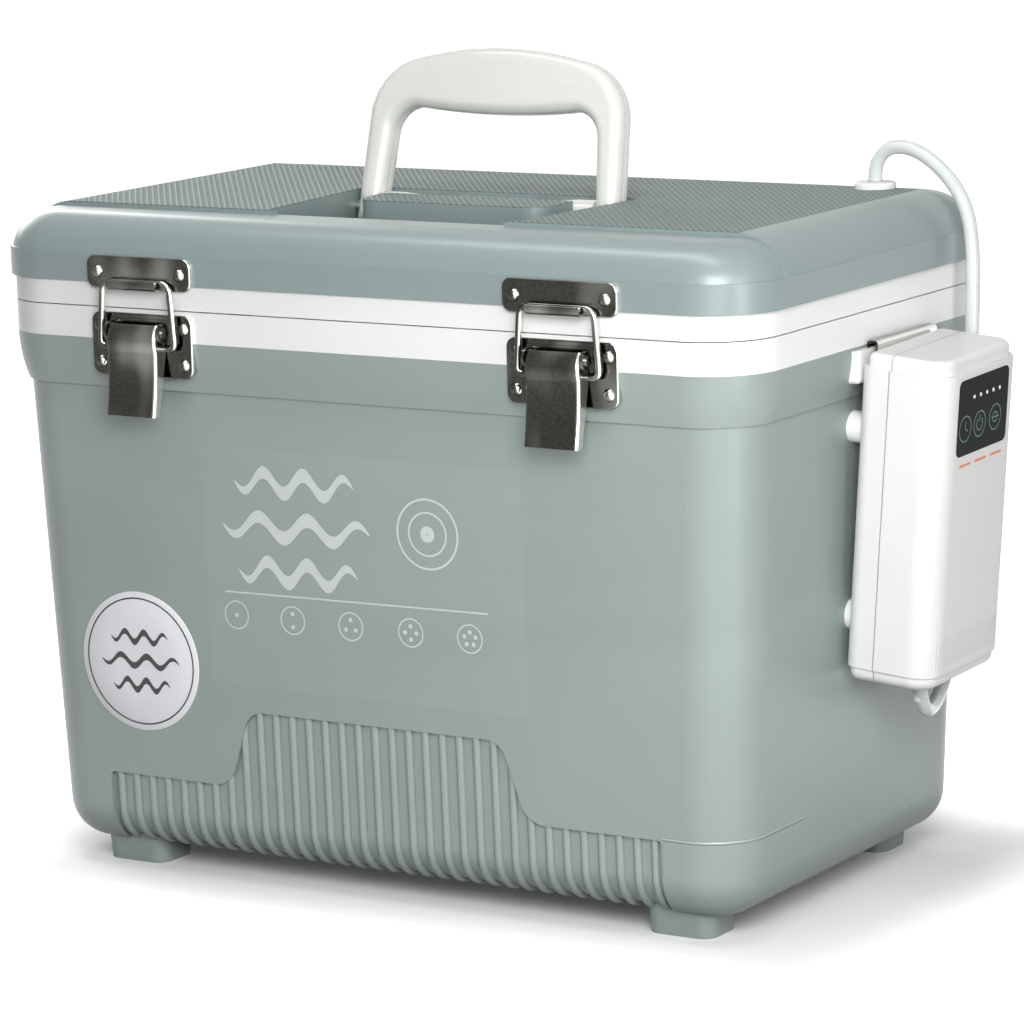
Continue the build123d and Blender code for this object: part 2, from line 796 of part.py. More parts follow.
# Side of the lever, seen from the pin: hood, crease, hollow front and flared tail
with BuildSketch() as lever_side:
    with BuildLine():
        ThreePointArc((-hood_reach, hood_rise), (-crease_reach - hood_bulge, -hood_rise / 2),
                      (-crease_reach, -crease_drop))
        ThreePointArc((-crease_reach, -crease_drop),
                      (tail_hollow - (crease_reach + tail_reach) / 2, -(crease_drop + lever_tail) / 2),
                      (-tail_reach, -lever_tail))
        Polyline((-tail_reach, -lever_tail), (tail_flange - tail_reach, -lever_tail),
                 (flange_depth, -flange_drop), (flange_depth, 0))
        CenterArc((0, 0), flange_depth, 0, 90)
        Line((0, flange_depth), (-hood_reach, hood_rise))
    make_face()
    fillet(lever_side.vertices().sort_by_distance((-crease_reach, -crease_drop))[0], crease_radius)

for name, latch_x in (("left", -latch_spacing / 2), ("right", latch_spacing / 2)):
    # Keeper: a stamped plate with a hook rolled forward under it, open at the top
    with BuildPart() as keeper:
        with BuildSketch(upright(front_skirt_y)):
            with Locations((latch_x, keeper_mid_z)):
                RectangleRounded(keeper_width, keeper_height, plate_corner)
        extrude(amount=plate_thickness)
        fillet(keeper.faces().sort_by(Axis.Y)[0].edges(), plate_edge)
        lip_y = keeper_front_y - hook_back_play - bail_diameter - hook_play - plate_thickness / 2
        with BuildSketch(crosswise(latch_x - hook_width / 2)):
            with BuildLine():
                FilletPolyline((front_skirt_y - plate_thickness / 2, keeper_low_z + plate_thickness / 2),
                               (lip_y, keeper_low_z + plate_thickness / 2),
                               (lip_y, bail_top_z + hook_height - plate_thickness / 2),
                               radius=hook_bend)
                offset(amount=plate_thickness / 2)
            make_face()
        extrude(amount=hook_width)
        add(keeper_screws, mode=Mode.SUBTRACT)
    keeper.part.label = f"{name}_latch_keeper"
    export_step(keeper.part, f"parts/{name}_latch_keeper.step")

    # Base plate, with a stiffening bead and two ears for the lever's pin
    with BuildPart() as base:
        with BuildSketch(upright(-rim_depth / 2)):
            with Locations((latch_x, base_mid_z)):
                RectangleRounded(base_width, base_height, plate_corner)
        extrude(amount=plate_thickness)
        fillet(base.faces().sort_by(Axis.Y)[0].edges(), plate_edge)
        with BuildSketch(upright(base_front_y)):
            with Locations((latch_x, base_mid_z + base_height / 2 - bead_drop)):
                SlotOverall(bead_length, bead_height)
        extrude(amount=bead_rise)
        for side in (-1, 1):
            with BuildSketch(crosswise(latch_x + side * ear_spacing / 2 - ear_thickness / 2)):
                with Locations((lever_pivot_y, lever_pivot_z)):
                    Circle(ear_radius)
                    Rectangle(base_front_y - lever_pivot_y + plate_thickness / 2, 2 * ear_radius,
                              align=(Align.MIN, Align.CENTER))
            extrude(amount=ear_thickness)
        with BuildSketch(crosswise(latch_x - ear_spacing)):
            with Locations((lever_pivot_y, lever_pivot_z)):
                Circle(lever_pin_diameter / 2)
        extrude(amount=2 * ear_spacing, mode=Mode.SUBTRACT)
        add(latch_base_screws, mode=Mode.SUBTRACT)
    base.part.label = f"{name}_latch_base"
    export_step(base.part, f"parts/{name}_latch_base.step")

    # Lever: a pressed channel, open behind, that turns on the pin
    with BuildPart() as lever:
        with BuildSketch(crosswise(latch_x - lever_width / 2)):
            with Locations((lever_pivot_y, lever_pivot_z)):
                add(lever_side.sketch)
        extrude(amount=lever_width)
        front_edges = lever.faces().filter_by(Axis.X).edges().filter_by(GeomType.CIRCLE).filter_by(
            lambda edge: edge.center().Y - tub_y < lever_pivot_y - hood_reach)
        fillet(front_edges, lever_edge)
        with BuildSketch(crosswise(latch_x - lever_width / 2 + lever_thickness)):
            with Locations((lever_pivot_y + lever_thickness, lever_pivot_z)):
                add(lever_side.sketch)
                Rectangle(2 * flange_depth, 2 * (flange_depth + hood_rise),
                          align=(Align.MIN, Align.CENTER))
        extrude(amount=lever_width - 2 * lever_thickness, mode=Mode.SUBTRACT)
        with BuildSketch(crosswise(latch_x - lever_width / 2)):
            with Locations((lever_pivot_y, lever_pivot_z)):
                Circle(lever_pin_diameter / 2 + running_clearance)
            with Locations((bail_y, bail_foot_z)):
                Circle(wire_radius + running_clearance)
        extrude(amount=lever_width, mode=Mode.SUBTRACT)
    lever.part.label = f"{name}_latch_lever"
    export_step(lever.part, f"parts/{name}_latch_lever.step")

    # Bail: one bent wire whose feet hook into the lever's sides
    with BuildPart() as bail:
        with BuildLine(upright(bail_y)) as wire:
            FilletPolyline(
                (latch_x - bail_foot_reach, bail_foot_z),
                (latch_x - bail_foot_width / 2, bail_foot_z),
                (latch_x - bail_top_width / 2, bail_top_z),
                (latch_x + bail_top_width / 2, bail_top_z),
                (latch_x + bail_foot_width / 2, bail_foot_z),
                (latch_x + bail_foot_reach, bail_foot_z),
                radius=[bail_foot_corner, bail_corner, bail_corner, bail_foot_corner],
            )
        with BuildSketch(crosswise(latch_x - bail_foot_reach)):
            with Locations((bail_y, bail_foot_z)):
                Circle(wire_radius)
        sweep(path=wire.wires()[0])
    bail.part.label = f"{name}_latch_bail"
    export_step(bail.part, f"parts/{name}_latch_bail.step")

with BuildPart() as lever_pins:
    for latch_x in (-latch_spacing / 2, latch_spacing / 2):
        pin_half = (ear_spacing + ear_thickness) / 2
        with BuildSketch(crosswise(latch_x - pin_half)):
            with Locations((lever_pivot_y, lever_pivot_z)):
                Circle(lever_pin_diameter / 2)
        extrude(amount=2 * pin_half)
        for side in (-1, 1):
            with BuildSketch(crosswise(latch_x + side * pin_half)):
                with Locations((lever_pivot_y, lever_pivot_z)):
                    Circle(pin_head / 2)
            extrude(amount=side * pin_head_height)
lever_pins.part.label = "latch_lever_pins"
export_step(lever_pins.part, "parts/latch_lever_pins.step")

# ================================================================ rear hinges
knuckle_pitch = leaf_width / knuckle_count
for name, hinge_x in (("left", -hinge_spacing / 2), ("right", hinge_spacing / 2)):
    for leaf_name, leaf_seat, leaf_mid_z, first, bore, leaf_screws in (
        ("tub", rim_depth / 2, tub_leaf_mid_z, 0, 0, hinge_tub_screws),
        ("lid", rim_depth / 2 + skirt_reach, lid_leaf_mid_z, 1, running_clearance, hinge_lid_screws),
    ):
        with BuildPart() as leaf:
            with BuildSketch(upright(leaf_seat)):
                with Locations((hinge_x, leaf_mid_z)):
                    RectangleRounded(leaf_width, leaf_height, leaf_corner)
            extrude(amount=-leaf_thickness)
            for index in range(first, knuckle_count, 2):
                knuckle_x = hinge_x - leaf_width / 2 + index * knuckle_pitch + knuckle_gap / 2
                with BuildSketch(crosswise(knuckle_x)):
                    with Locations((hinge_y, hinge_z)):
                        Circle(knuckle_diameter / 2)
                    with Locations((leaf_seat + leaf_thickness / 2, (hinge_z + leaf_mid_z) / 2)):
                        Rectangle(leaf_thickness, abs(leaf_mid_z - hinge_z))
                    with Locations((hinge_y, hinge_z)):
                        Circle(hinge_pin_diameter / 2 + bore, mode=Mode.SUBTRACT)
                extrude(amount=knuckle_pitch - knuckle_gap)
            add(leaf_screws, mode=Mode.SUBTRACT)
        leaf.part.label = f"{name}_hinge_{leaf_name}_leaf"
        export_step(leaf.part, f"parts/{name}_hinge_{leaf_name}_leaf.step")

with BuildPart() as hinge_pins:
    for hinge_x in (-hinge_spacing / 2, hinge_spacing / 2):
        with BuildSketch(crosswise(hinge_x - leaf_width / 2)):
            with Locations((hinge_y, hinge_z)):
                Circle(hinge_pin_diameter / 2)
        extrude(amount=leaf_width)
hinge_pins.part.label = "hinge_pins"
export_step(hinge_pins.part, "parts/hinge_pins.step")

# ================================================================ air pump
# The pump leans out at the top and its head swings a little to the front
lean, swing = radians(pump_lean), radians(pump_swing)
pump_up = Vector(sin(lean) * cos(swing), -sin(swing), cos(lean) * cos(swing))
pump_out = Vector(cos(lean), 0, -sin(lean))
pump_across = pump_up.cross(pump_out)
pump_head = Vector(tub_x + rim_width / 2 + pump_gap, tub_y + pump_y - pump_height * sin(swing) / 2,
                   band_z - pump_top_drop)
pump_foot = pump_head - pump_up * pump_height
body_low = bottom_cap_height
body_high = pump_height - top_cap_height
board_mid = body_high - cap_ledge - board_gap - board_height / 2


def pump_level(height):
    # Across the pump: x from its back to its front, y towards its rear side
    return Plane(origin=pump_foot + pump_up * height, x_dir=pump_out, z_dir=pump_up)


def pump_face(depth):
    # Parallel to the pump's front: x towards its rear side, y up
    return Plane(origin=pump_foot + pump_out * depth, x_dir=pump_across, z_dir=pump_out)


def pump_block(low, high, inset, near=0.0, far=pump_thickness):
    # The pump's form between two heights, drawn in by an inset and cut to a range of depths
    with BuildPart() as block:
        with BuildSketch(pump_level(low)) as outline:
            with Locations((pump_thickness / 2, 0)):
                Rectangle(pump_thickness - 2 * inset, pump_width - 2 * inset)
            fillet(outline.vertices().group_by(Axis.X)[0], pump_back_corner - inset)
            fillet(outline.vertices().group_by(Axis.X)[-1], pump_front_corner - inset)
            with Locations(((near + far) / 2, 0)):
                Rectangle(far - near, pump_width, mode=Mode.INTERSECT)
        extrude(amount=high - low)
    return block.part


# Bracket on the collar, with a slot for the clip
with BuildPart() as pump_bracket:
    with BuildSketch(level(bracket_low_z)):
        with Locations((bracket_reach - bracket_depth / 2, bracket_y)):
            RectangleRounded(bracket_depth, bracket_width, bracket_corner)
    extrude(amount=bracket_high_z - bracket_low_z)
    fillet(pump_bracket.faces().sort_by(Axis.X)[-1].edges().sort_by(Axis.Z)[0], bracket_corner)
    add(collar.part, mode=Mode.SUBTRACT)
    with BuildSketch(level(bracket_high_z - slot_depth)):
        with Locations((clip_slot_x, clip_y)):
            Rectangle(slot_width, clip_width + 2 * slot_play)
    extrude(amount=slot_depth, mode=Mode.SUBTRACT)
pump_bracket.part.label = "pump_bracket"
export_step(pump_bracket.part, "parts/pump_bracket.step")

# Clip: a bent steel strip from the bracket's slot, over the top and down the pump's back
clip_side = Plane(origin=(tub_x, tub_y + clip_y + clip_width / 2, 0), x_dir=(1, 0, 0), z_dir=(0, -1, 0))
clip_head = pump_head + pump_out * clip_thickness / 2 - Vector(tub_x, 0, 0)
clip_foot = clip_head - pump_up * clip_outer_leg
with BuildPart() as pump_clip:
    with BuildSketch(clip_side):
        with BuildLine():
            FilletPolyline((clip_slot_x, bracket_high_z - clip_inner_leg),
                           (clip_slot_x, clip_head.Z + clip_rise),
                           (clip_head.X, clip_head.Z + clip_rise), (clip_foot.X, clip_foot.Z),
                           radius=clip_bend)
            offset(amount=clip_thickness / 2)
        make_face()
    extrude(amount=clip_width)
pump_clip.part.label = "pump_clip"
export_step(pump_clip.part, "parts/pump_clip.step")

# Housing: two half shells between two caps
for name, near, far in (("pump_front_shell", pump_split, pump_thickness), ("pump_back_shell", 0.0, pump_split)):
    with BuildPart() as shell:
        add(pump_block(body_low, body_high, 0, near, far))
        add(pump_block(body_low + cap_ledge, body_high - cap_ledge, pump_wall), mode=Mode.SUBTRACT)
        add(pump_clip.part, mode=Mode.SUBTRACT)
        with BuildSketch(pump_face(pump_thickness)):
            with Locations((panel_shift, panel_mid)):
                RectangleRounded(panel_width, panel_height, panel_corner)
        extrude(amount=-panel_depth, mode=Mode.SUBTRACT)
    shell.part.label = name
    export_step(shell.part, f"parts/{name}.step")

with BuildPart() as top_cap:
    add(pump_block(body_high, pump_height, top_cap_setback))
    fillet(top_cap.faces().sort_by(Axis(pump_foot, pump_up))[-1].edges(), top_cap_edge)
    add(pump_block(body_high, pump_height - pump_wall, top_cap_setback + pump_wall), mode=Mode.SUBTRACT)
    add(pump_clip.part, mode=Mode.SUBTRACT)
top_cap.part.label = "pump_top_cap"
export_step(top_cap.part, "parts/pump_top_cap.step")

with BuildPart() as hose_barb:
    for barb_radius, low, high in ((barb_flange / 2, -barb_flange_height, 0),
                                   (hose_bore / 2, -barb_reach, pump_wall)):
        with BuildSketch(pump_level(low)):
            with Locations((barb_out, barb_across)):
                Circle(barb_radius)
        extrude(amount=high - low)
hose_barb.part.label = "hose_barb"
export_step(hose_barb.part, "parts/hose_barb.step")

with BuildPart() as bottom_cap:
    add(pump_block(0, body_low, bottom_cap_setback))
    fillet(bottom_cap.faces().sort_by(Axis(pump_foot, pump_up))[0].edges(), bottom_cap_edge)
    add(pump_block(pump_wall, body_low, bottom_cap_setback + pump_wall), mode=Mode.SUBTRACT)
    add(hose_barb.part, mode=Mode.SUBTRACT)
bottom_cap.part.label = "pump_bottom_cap"
export_step(bottom_cap.part, "parts/pump_bottom_cap.step")

# Control panel with a row of indicator lights
led_spots = [(panel_shift + panel_width * (led_first + index * led_step - 0.5),
              panel_mid + panel_height * (led_rise - 0.5)) for index in range(led_count)]
with BuildPart() as pump_leds:
    with BuildSketch(pump_face(pump_thickness + panel_proud + led_proud)):
        with Locations(*led_spots):
            Circle(led_diameter / 2)
    extrude(amount=-led_length)
pump_leds.part.label = "pump_leds"
export_step(pump_leds.part, "parts/pump_leds.step")

with BuildPart() as pump_panel:
    with BuildSketch(pump_face(pump_thickness - panel_depth)):
        with Locations((panel_shift, panel_mid)):
            RectangleRounded(panel_width, panel_height, panel_corner)
    extrude(amount=panel_depth + panel_proud)
    add(pump_leds.part, mode=Mode.SUBTRACT)
pump_panel.part.label = "pump_panel"
export_step(pump_panel.part, "parts/pump_panel.step")

# Inside the housing: circuit board, battery and the diaphragm pump with its motor
with BuildPart() as circuit_board:
    with BuildSketch(pump_face(pump_thickness - pump_wall)):
        with Locations((0, board_mid)):
            with GridLocations(board_width - 4 * board_post, board_height - 2 * board_post, 2, 2):
                Circle(board_post / 2)
    extrude(amount=-board_setback)
    with BuildSketch(pump_face(pump_thickness - pump_wall - board_setback)):
        with Locations((0, board_mid)):
            Rectangle(board_width, board_height)
    extrude(amount=-board_thickness)
circuit_board.part.label = "pump_circuit_board"
export_step(circuit_board.part, "parts/pump_circuit_board.step")

cell_out = pump_wall + cell_tray + cell_diameter / 2
with BuildPart() as battery:
    with BuildSketch(pump_level(cell_low)):
        with Locations((cell_out, -cell_pitch / 2), (cell_out, cell_pitch / 2)):
            Circle(cell_diameter / 2)
        with Locations((pump_wall + (cell_tray + cell_diameter / 4) / 2, 0)):
            Rectangle(cell_tray + cell_diameter / 4, 2 * cell_pitch)
    extrude(amount=cell_length)
battery.part.label = "pump_battery"
export_step(battery.part, "parts/pump_battery.step")

with BuildPart() as pump_motor:
    with BuildSketch(pump_level(body_low + cap_ledge)):
        with Locations((pump_thickness / 2, 0)):
            RectangleRounded(motor_base_depth, motor_base_width, board_post)
    extrude(amount=motor_base_height)
    with BuildSketch(pump_level(body_low + cap_ledge + motor_base_height)):
        with Locations((pump_thickness / 2, 0)):
            Circle(motor_diameter / 2)
    extrude(amount=motor_length)
pump_motor.part.label = "pump_motor"
export_step(pump_motor.part, "parts/pump_motor.step")

# Rubber bumpers keep the pump off the wall
wall_form = wall_block(0)
with BuildPart() as pump_bumpers:
    with BuildSketch(pump_face(0)):
        for bumper_height in (bumper_low, bumper_high):
            with Locations((-bumper_half, bumper_height), (bumper_half, bumper_height)):
                Circle(bumper_diameter / 2)
    extrude(amount=-bumper_diameter)
    add(wall_form, mode=Mode.SUBTRACT)
pump_bumpers.part.label = "pump_bumpers"
export_step(pump_bumpers.part, "parts/pump_bumpers.step")

# ================================================================ hose and air stone
tub_middle = Vector(tub_x, tub_y, 0)
barb_mouth = pump_foot + pump_out * barb_out + pump_across * barb_across - pump_up * barb_flange_height


def route_radii(points):
    # Largest arcs for a route: 0.45 of the shorter run over the tangent of half the turn
    radii = []
    for before, corner, after in zip(points, points[1:], points[2:]):
        first, second = corner - before, after - corner
        half_turn = radians(first.get_angle(second)) / 2
        radii.append(0.45 * min(first.length, second.length) / tan(half_turn))
    return radii


def hose_part(points):
    # A tube along a route of straight runs joined by tangent arcs
    radii = route_radii(points)
    with BuildPart() as tube:
        with BuildLine() as route:
            FilletPolyline(*points, radius=radii)
        line = route.wires()[0]
        with BuildSketch(Plane(origin=line @ 0, z_dir=line % 0)):
            Circle(hose_diameter / 2)
        sweep(path=line)
    section = pi * hose_diameter**2 / 4
    print("hose length", round(line.length), "radii", [round(radius, 1) for radius in radii],
          "volume ratio", round(tube.part.volume / (section * line.length), 4))
    return tube.part


# Over the lid's edge, down beside the pump and round below it to the barb
hose_route = [tub_middle + Vector(*spot) for spot in (
    (grommet_x, grommet_y, lid_top_z + grommet_height),
    (grommet_x, grommet_y, 303.2),
    (165.0, 75.4, 305.6),
    (190.2, 69.5, 286.6),
    (194.9, 68.6, 259.8),
    (192.8, 67.5, 212.0),
    (190.5, 60.9, 132.0),
    (188.5, 52.0, 82.0),
    (200.8, 4.5, 75.5),
)] + [barb_mouth]
outer_hose = hose_part(hose_route)
hose_split = level(hose_split_z)
with BuildPart() as hose_upper:
    add(outer_hose)
    split(bisect_by=hose_split, keep=Keep.TOP)
hose_upper.part.label = "hose_upper"
export_step(hose_upper.part, "parts/hose_upper.step")
with BuildPart() as hose_lower:
    add(outer_hose)
    split(bisect_by=hose_split, keep=Keep.BOTTOM)
    add(hose_barb.part, mode=Mode.SUBTRACT)
hose_lower.part.label = "hose_lower"
export_step(hose_lower.part, "parts/hose_lower.step")

# Grommet: a soft bush that carries the air through the lid
with BuildPart() as hose_grommet:
    with BuildSketch(level(shoulder_z)):
        with Locations((grommet_x, grommet_y)):
            Circle(grommet_flange / 2)
    extrude(amount=lid_top_z + grommet_height - shoulder_z)
    fillet(hose_grommet.edges().group_by(Axis.Z)[-1], grommet_edge)
    add(lid_form(0, skirt_z), mode=Mode.SUBTRACT)
    with BuildSketch(level(inner_hose_z)):
        with Locations((grommet_x, grommet_y)):
            Circle(hose_diameter / 2)
    extrude(amount=lid_top_z + grommet_height - inner_hose_z)
hose_grommet.part.label = "hose_grommet"
export_step(hose_grommet.part, "parts/hose_grommet.step")

# Inner hose hangs from the grommet to the air stone on the tank floor
stone_z = tank_floor_z + stone_diameter / 2
inner_route = [tub_middle + Vector(*spot) for spot in (
    (grommet_x, grommet_y, inner_hose_z - running_gap),
    (144.0, 74.5, 201.0),
    (129.0, 58.0, 141.0),
    (112.0, 31.0, 80.0),
    (86.0, 9.0, stone_z + 5),
    (56.0, -6.0, stone_z),
)]
inner_hose = hose_part(inner_route)
inner_hose.label = "inner_hose"
export_step(inner_hose, "parts/inner_hose.step")

stone_line = (inner_route[-1] - inner_route[-2])
stone_line = Vector(stone_line.X, stone_line.Y, 0).normalized()
with BuildPart() as air_stone:
    with BuildSketch(Plane(origin=inner_route[-1], z_dir=stone_line)):
        Circle(stone_neck / 2)
    extrude(amount=stone_neck)
    with BuildSketch(Plane(origin=inner_route[-1] + stone_line * stone_neck, z_dir=stone_line)):
        Circle(stone_diameter / 2)
    extrude(amount=stone_length)
    fillet(air_stone.faces().sort_by(Axis(inner_route[-1], stone_line))[-1].edges(), stone_edge)
    add(inner_hose, mode=Mode.SUBTRACT)
air_stone.part.label = "air_stone"
export_step(air_stone.part, "parts/air_stone.step")
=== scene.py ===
import json
from math import cos, pi, radians, sin, tan

import bpy
import numpy as np
from mathutils import Matrix, Vector


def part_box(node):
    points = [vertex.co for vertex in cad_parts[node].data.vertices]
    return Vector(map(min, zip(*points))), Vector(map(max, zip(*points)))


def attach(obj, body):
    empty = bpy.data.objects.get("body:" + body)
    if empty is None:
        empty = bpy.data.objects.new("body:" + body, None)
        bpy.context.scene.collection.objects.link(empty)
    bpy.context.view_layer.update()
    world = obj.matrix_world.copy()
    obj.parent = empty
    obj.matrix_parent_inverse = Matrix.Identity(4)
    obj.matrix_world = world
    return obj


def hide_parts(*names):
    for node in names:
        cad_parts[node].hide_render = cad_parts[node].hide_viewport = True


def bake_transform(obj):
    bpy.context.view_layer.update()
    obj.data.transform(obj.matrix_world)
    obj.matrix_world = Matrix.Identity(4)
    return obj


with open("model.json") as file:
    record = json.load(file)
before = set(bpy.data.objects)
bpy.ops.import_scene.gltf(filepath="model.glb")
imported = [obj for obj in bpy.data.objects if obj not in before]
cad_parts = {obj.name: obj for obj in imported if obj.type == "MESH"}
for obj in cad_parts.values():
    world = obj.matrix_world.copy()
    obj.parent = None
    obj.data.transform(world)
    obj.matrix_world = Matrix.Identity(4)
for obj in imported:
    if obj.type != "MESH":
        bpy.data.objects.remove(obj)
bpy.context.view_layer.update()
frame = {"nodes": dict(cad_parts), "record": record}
nodes = frame["nodes"]
scene = bpy.context.scene
print("frame loaded,", len(nodes), "nodes")


# Small helpers used by every piece

def span(node):
    low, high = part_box(node)
    return np.array(low), np.array(high)


def meshPiece(name, vertices, faces):
    # One mesh object with its place in its vertices
    mesh = bpy.data.meshes.new(name)
    mesh.from_pydata(np.asarray(vertices, float).reshape(-1, 3).tolist(), [], faces)
    mesh.polygons.foreach_set("use_smooth", np.full(len(mesh.polygons), True))
    mesh.update()
    piece = bpy.data.objects.new(name, mesh)
    scene.collection.objects.link(piece)
    return piece


def gridFaces(rows, columns, closed=False, offset=0):
    # Quads between neighbours of a rows x columns grid, its columns wrapped round where asked
    row = np.arange(rows - 1)[:, None]
    column = np.arange(columns if closed else columns - 1)[None, :]
    nextRow, nextColumn = row + 1, (column + 1) % columns
    corners = [row * columns + column, row * columns + nextColumn,
               nextRow * columns + nextColumn, nextRow * columns + column]
    quads = np.stack([corner + 0 * row + 0 * column for corner in corners], -1)
    return (quads.reshape(-1, 4) + offset).tolist()


def sheetPiece(name, sheets):
    # Several grids of points, each with its own wrap, joined in one mesh
    vertices, faces, count = [], [], 0
    for points, closed in sheets:
        rows, columns = points.shape[:2]
        vertices.append(points.reshape(-1, 3))
        faces += gridFaces(rows, columns, closed, count)
        count += rows * columns
    return meshPiece(name, np.concatenate(vertices), faces)


def finishWith(piece, material, body):
    # Material, slot and body of a piece; a piece given no body is left unattached
    piece.data.materials.clear()
    piece.data.materials.append(material)
    if body:
        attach(piece, body)


# Shader groups shared by several materials

def nodeGroup(name, inputs, outputs):
    group = bpy.data.node_groups.new(name, "ShaderNodeTree")
    for label, kind, value in inputs:
        socket = group.interface.new_socket(label, in_out="INPUT", socket_type=kind)
        if value is not None:
            socket.default_value = value
    for label, kind in outputs:
        group.interface.new_socket(label, in_out="OUTPUT", socket_type=kind)
    return group, group.nodes.new("NodeGroupInput"), group.nodes.new("NodeGroupOutput")


def mathNode(tree, operation, first, second=None, clamp=False):
    node = tree.nodes.new("ShaderNodeMath")
    node.operation = operation
    node.use_clamp = clamp
    for index, value in enumerate((first, second)):
        if value is None:
            continue
        if isinstance(value, (int, float)):
            node.inputs[index].default_value = value
        else:
            tree.links.new(value, node.inputs[index])
    return node.outputs[0]


def handledSurface(name="handledSurface"):
    # Uneven gloss and tone of a used surface: broad patches plus fine specks
    group, given, result = nodeGroup(
        name,
        [("Vector", "NodeSocketVector", None), ("Scale", "NodeSocketFloat", 40.0),
         ("Roughness", "NodeSocketFloat", 0.35), ("Spread", "NodeSocketFloat", 0.1)],
        [("Roughness", "NodeSocketFloat"), ("Tone", "NodeSocketFloat"), ("Height", "NodeSocketFloat")])
    broad = group.nodes.new("ShaderNodeTexNoise")
    broad.inputs["Detail"].default_value = 3
    fine = group.nodes.new("ShaderNodeTexNoise")
    fine.inputs["Detail"].default_value = 2
    group.links.new(given.outputs["Vector"], broad.inputs["Vector"])
    group.links.new(given.outputs["Vector"], fine.inputs["Vector"])
    group.links.new(given.outputs["Scale"], broad.inputs["Scale"])
    group.links.new(mathNode(group, "MULTIPLY", given.outputs["Scale"], 30.0), fine.inputs["Scale"])
    patch = mathNode(group, "SUBTRACT", broad.outputs["Fac"], 0.5)
    swing = mathNode(group, "MULTIPLY", patch, given.outputs["Spread"])
    gloss = mathNode(group, "ADD", given.outputs["Roughness"], swing, clamp=True)
    group.links.new(gloss, result.inputs["Roughness"])
    group.links.new(mathNode(group, "ADD", patch, 0.5, clamp=True), result.inputs["Tone"])
    group.links.new(fine.outputs["Fac"], result.inputs["Height"])
    return group


handled = handledSurface()


def alongDirection(name="alongDirection"):
    # Distance of a place from a plane, and a soft line drawn where that distance is nearly nothing
    group, given, result = nodeGroup(
        name,
        [("Vector", "NodeSocketVector", None), ("Direction", "NodeSocketVector", (1, 0, 0)),
         ("Offset", "NodeSocketFloat", 0.0), ("Width", "NodeSocketFloat", 0.0004)],
        [("Distance", "NodeSocketFloat"), ("Line", "NodeSocketFloat")])
    dot = group.nodes.new("ShaderNodeVectorMath")
    dot.operation = "DOT_PRODUCT"
    group.links.new(given.outputs["Vector"], dot.inputs[0])
    group.links.new(given.outputs["Direction"], dot.inputs[1])
    distance = mathNode(group, "SUBTRACT", dot.outputs["Value"], given.outputs["Offset"])
    share = mathNode(group, "DIVIDE", mathNode(group, "ABSOLUTE", distance), given.outputs["Width"])
    group.links.new(distance, result.inputs["Distance"])
    group.links.new(mathNode(group, "SUBTRACT", 1.0, share, clamp=True), result.inputs["Line"])
    return group


along = alongDirection()


def placeAlong(tree, place, direction, offset, width=0.0004):
    # The distance group on Object coordinates; its outputs are read by name
    group = tree.nodes.new("ShaderNodeGroup")
    group.node_tree = along
    tree.links.new(place.outputs["Object"], group.inputs["Vector"])
    group.inputs["Direction"].default_value = direction
    group.inputs["Offset"].default_value = offset
    group.inputs["Width"].default_value = width
    return group.outputs


def between(tree, value, low, high):
    # 1 where the value lies between two limits
    above = mathNode(tree, "GREATER_THAN", value, low)
    return mathNode(tree, "MULTIPLY", above, mathNode(tree, "LESS_THAN", value, high))


def together(tree, first, *others):
    # 1 where all the masks are on
    for other in others:
        first = mathNode(tree, "MULTIPLY", first, other)
    return first


def addRelief(tree, surface, height, depth):
    # One more bump on top of the surface's present normal
    lift = tree.nodes.new("ShaderNodeBump")
    lift.inputs["Distance"].default_value = depth
    tree.links.new(height, lift.inputs["Height"])
    tree.links.new(surface.inputs["Normal"].links[0].from_socket, lift.inputs["Normal"])
    tree.links.new(lift.outputs["Normal"], surface.inputs["Normal"])


def tintWhere(tree, surface, mask, tone, strength=1.0):
    # Blend another tone into the present colour where the mask is on
    mix = tree.nodes.new("ShaderNodeMix")
    mix.data_type = "RGBA"
    tree.links.new(mathNode(tree, "MULTIPLY", mask, strength), mix.inputs["Factor"])
    tree.links.new(surface.inputs["Base Color"].links[0].from_socket, mix.inputs["A"])
    mix.inputs["B"].default_value = (*tone, 1)
    tree.links.new(mix.outputs["Result"], surface.inputs["Base Color"])


def newMaterial(name):
    material = bpy.data.materials.new(name)
    material.use_nodes = True
    tree = material.node_tree
    return material, tree, tree.nodes["Principled BSDF"]


def placeHandled(tree, surface, look):
    # The shared group in a material, on Object coordinates, with fine bump
    place = tree.nodes.new("ShaderNodeTexCoord")
    group = tree.nodes.new("ShaderNodeGroup")
    group.node_tree = handled
    group.inputs["Scale"].default_value = look["patch"]
    group.inputs["Roughness"].default_value = look["rough"]
    group.inputs["Spread"].default_value = look["spread"]
    tree.links.new(place.outputs["Object"], group.inputs["Vector"])
    tree.links.new(group.outputs["Roughness"], surface.inputs["Roughness"])
    bump = tree.nodes.new("ShaderNodeBump")
    bump.inputs["Distance"].default_value = look["grain"]
    tree.links.new(group.outputs["Height"], bump.inputs["Height"])
    tree.links.new(bump.outputs["Normal"], surface.inputs["Normal"])
    return place, group


def twoTone(tree, surface, factor, low, high):
    # Base colour between two tones
    mix = tree.nodes.new("ShaderNodeMix")
    mix.data_type = "RGBA"
    tree.links.new(factor, mix.inputs["Factor"])
    mix.inputs["A"].default_value = (*low, 1)
    mix.inputs["B"].default_value = (*high, 1)
    tree.links.new(mix.outputs["Result"], surface.inputs["Base Color"])


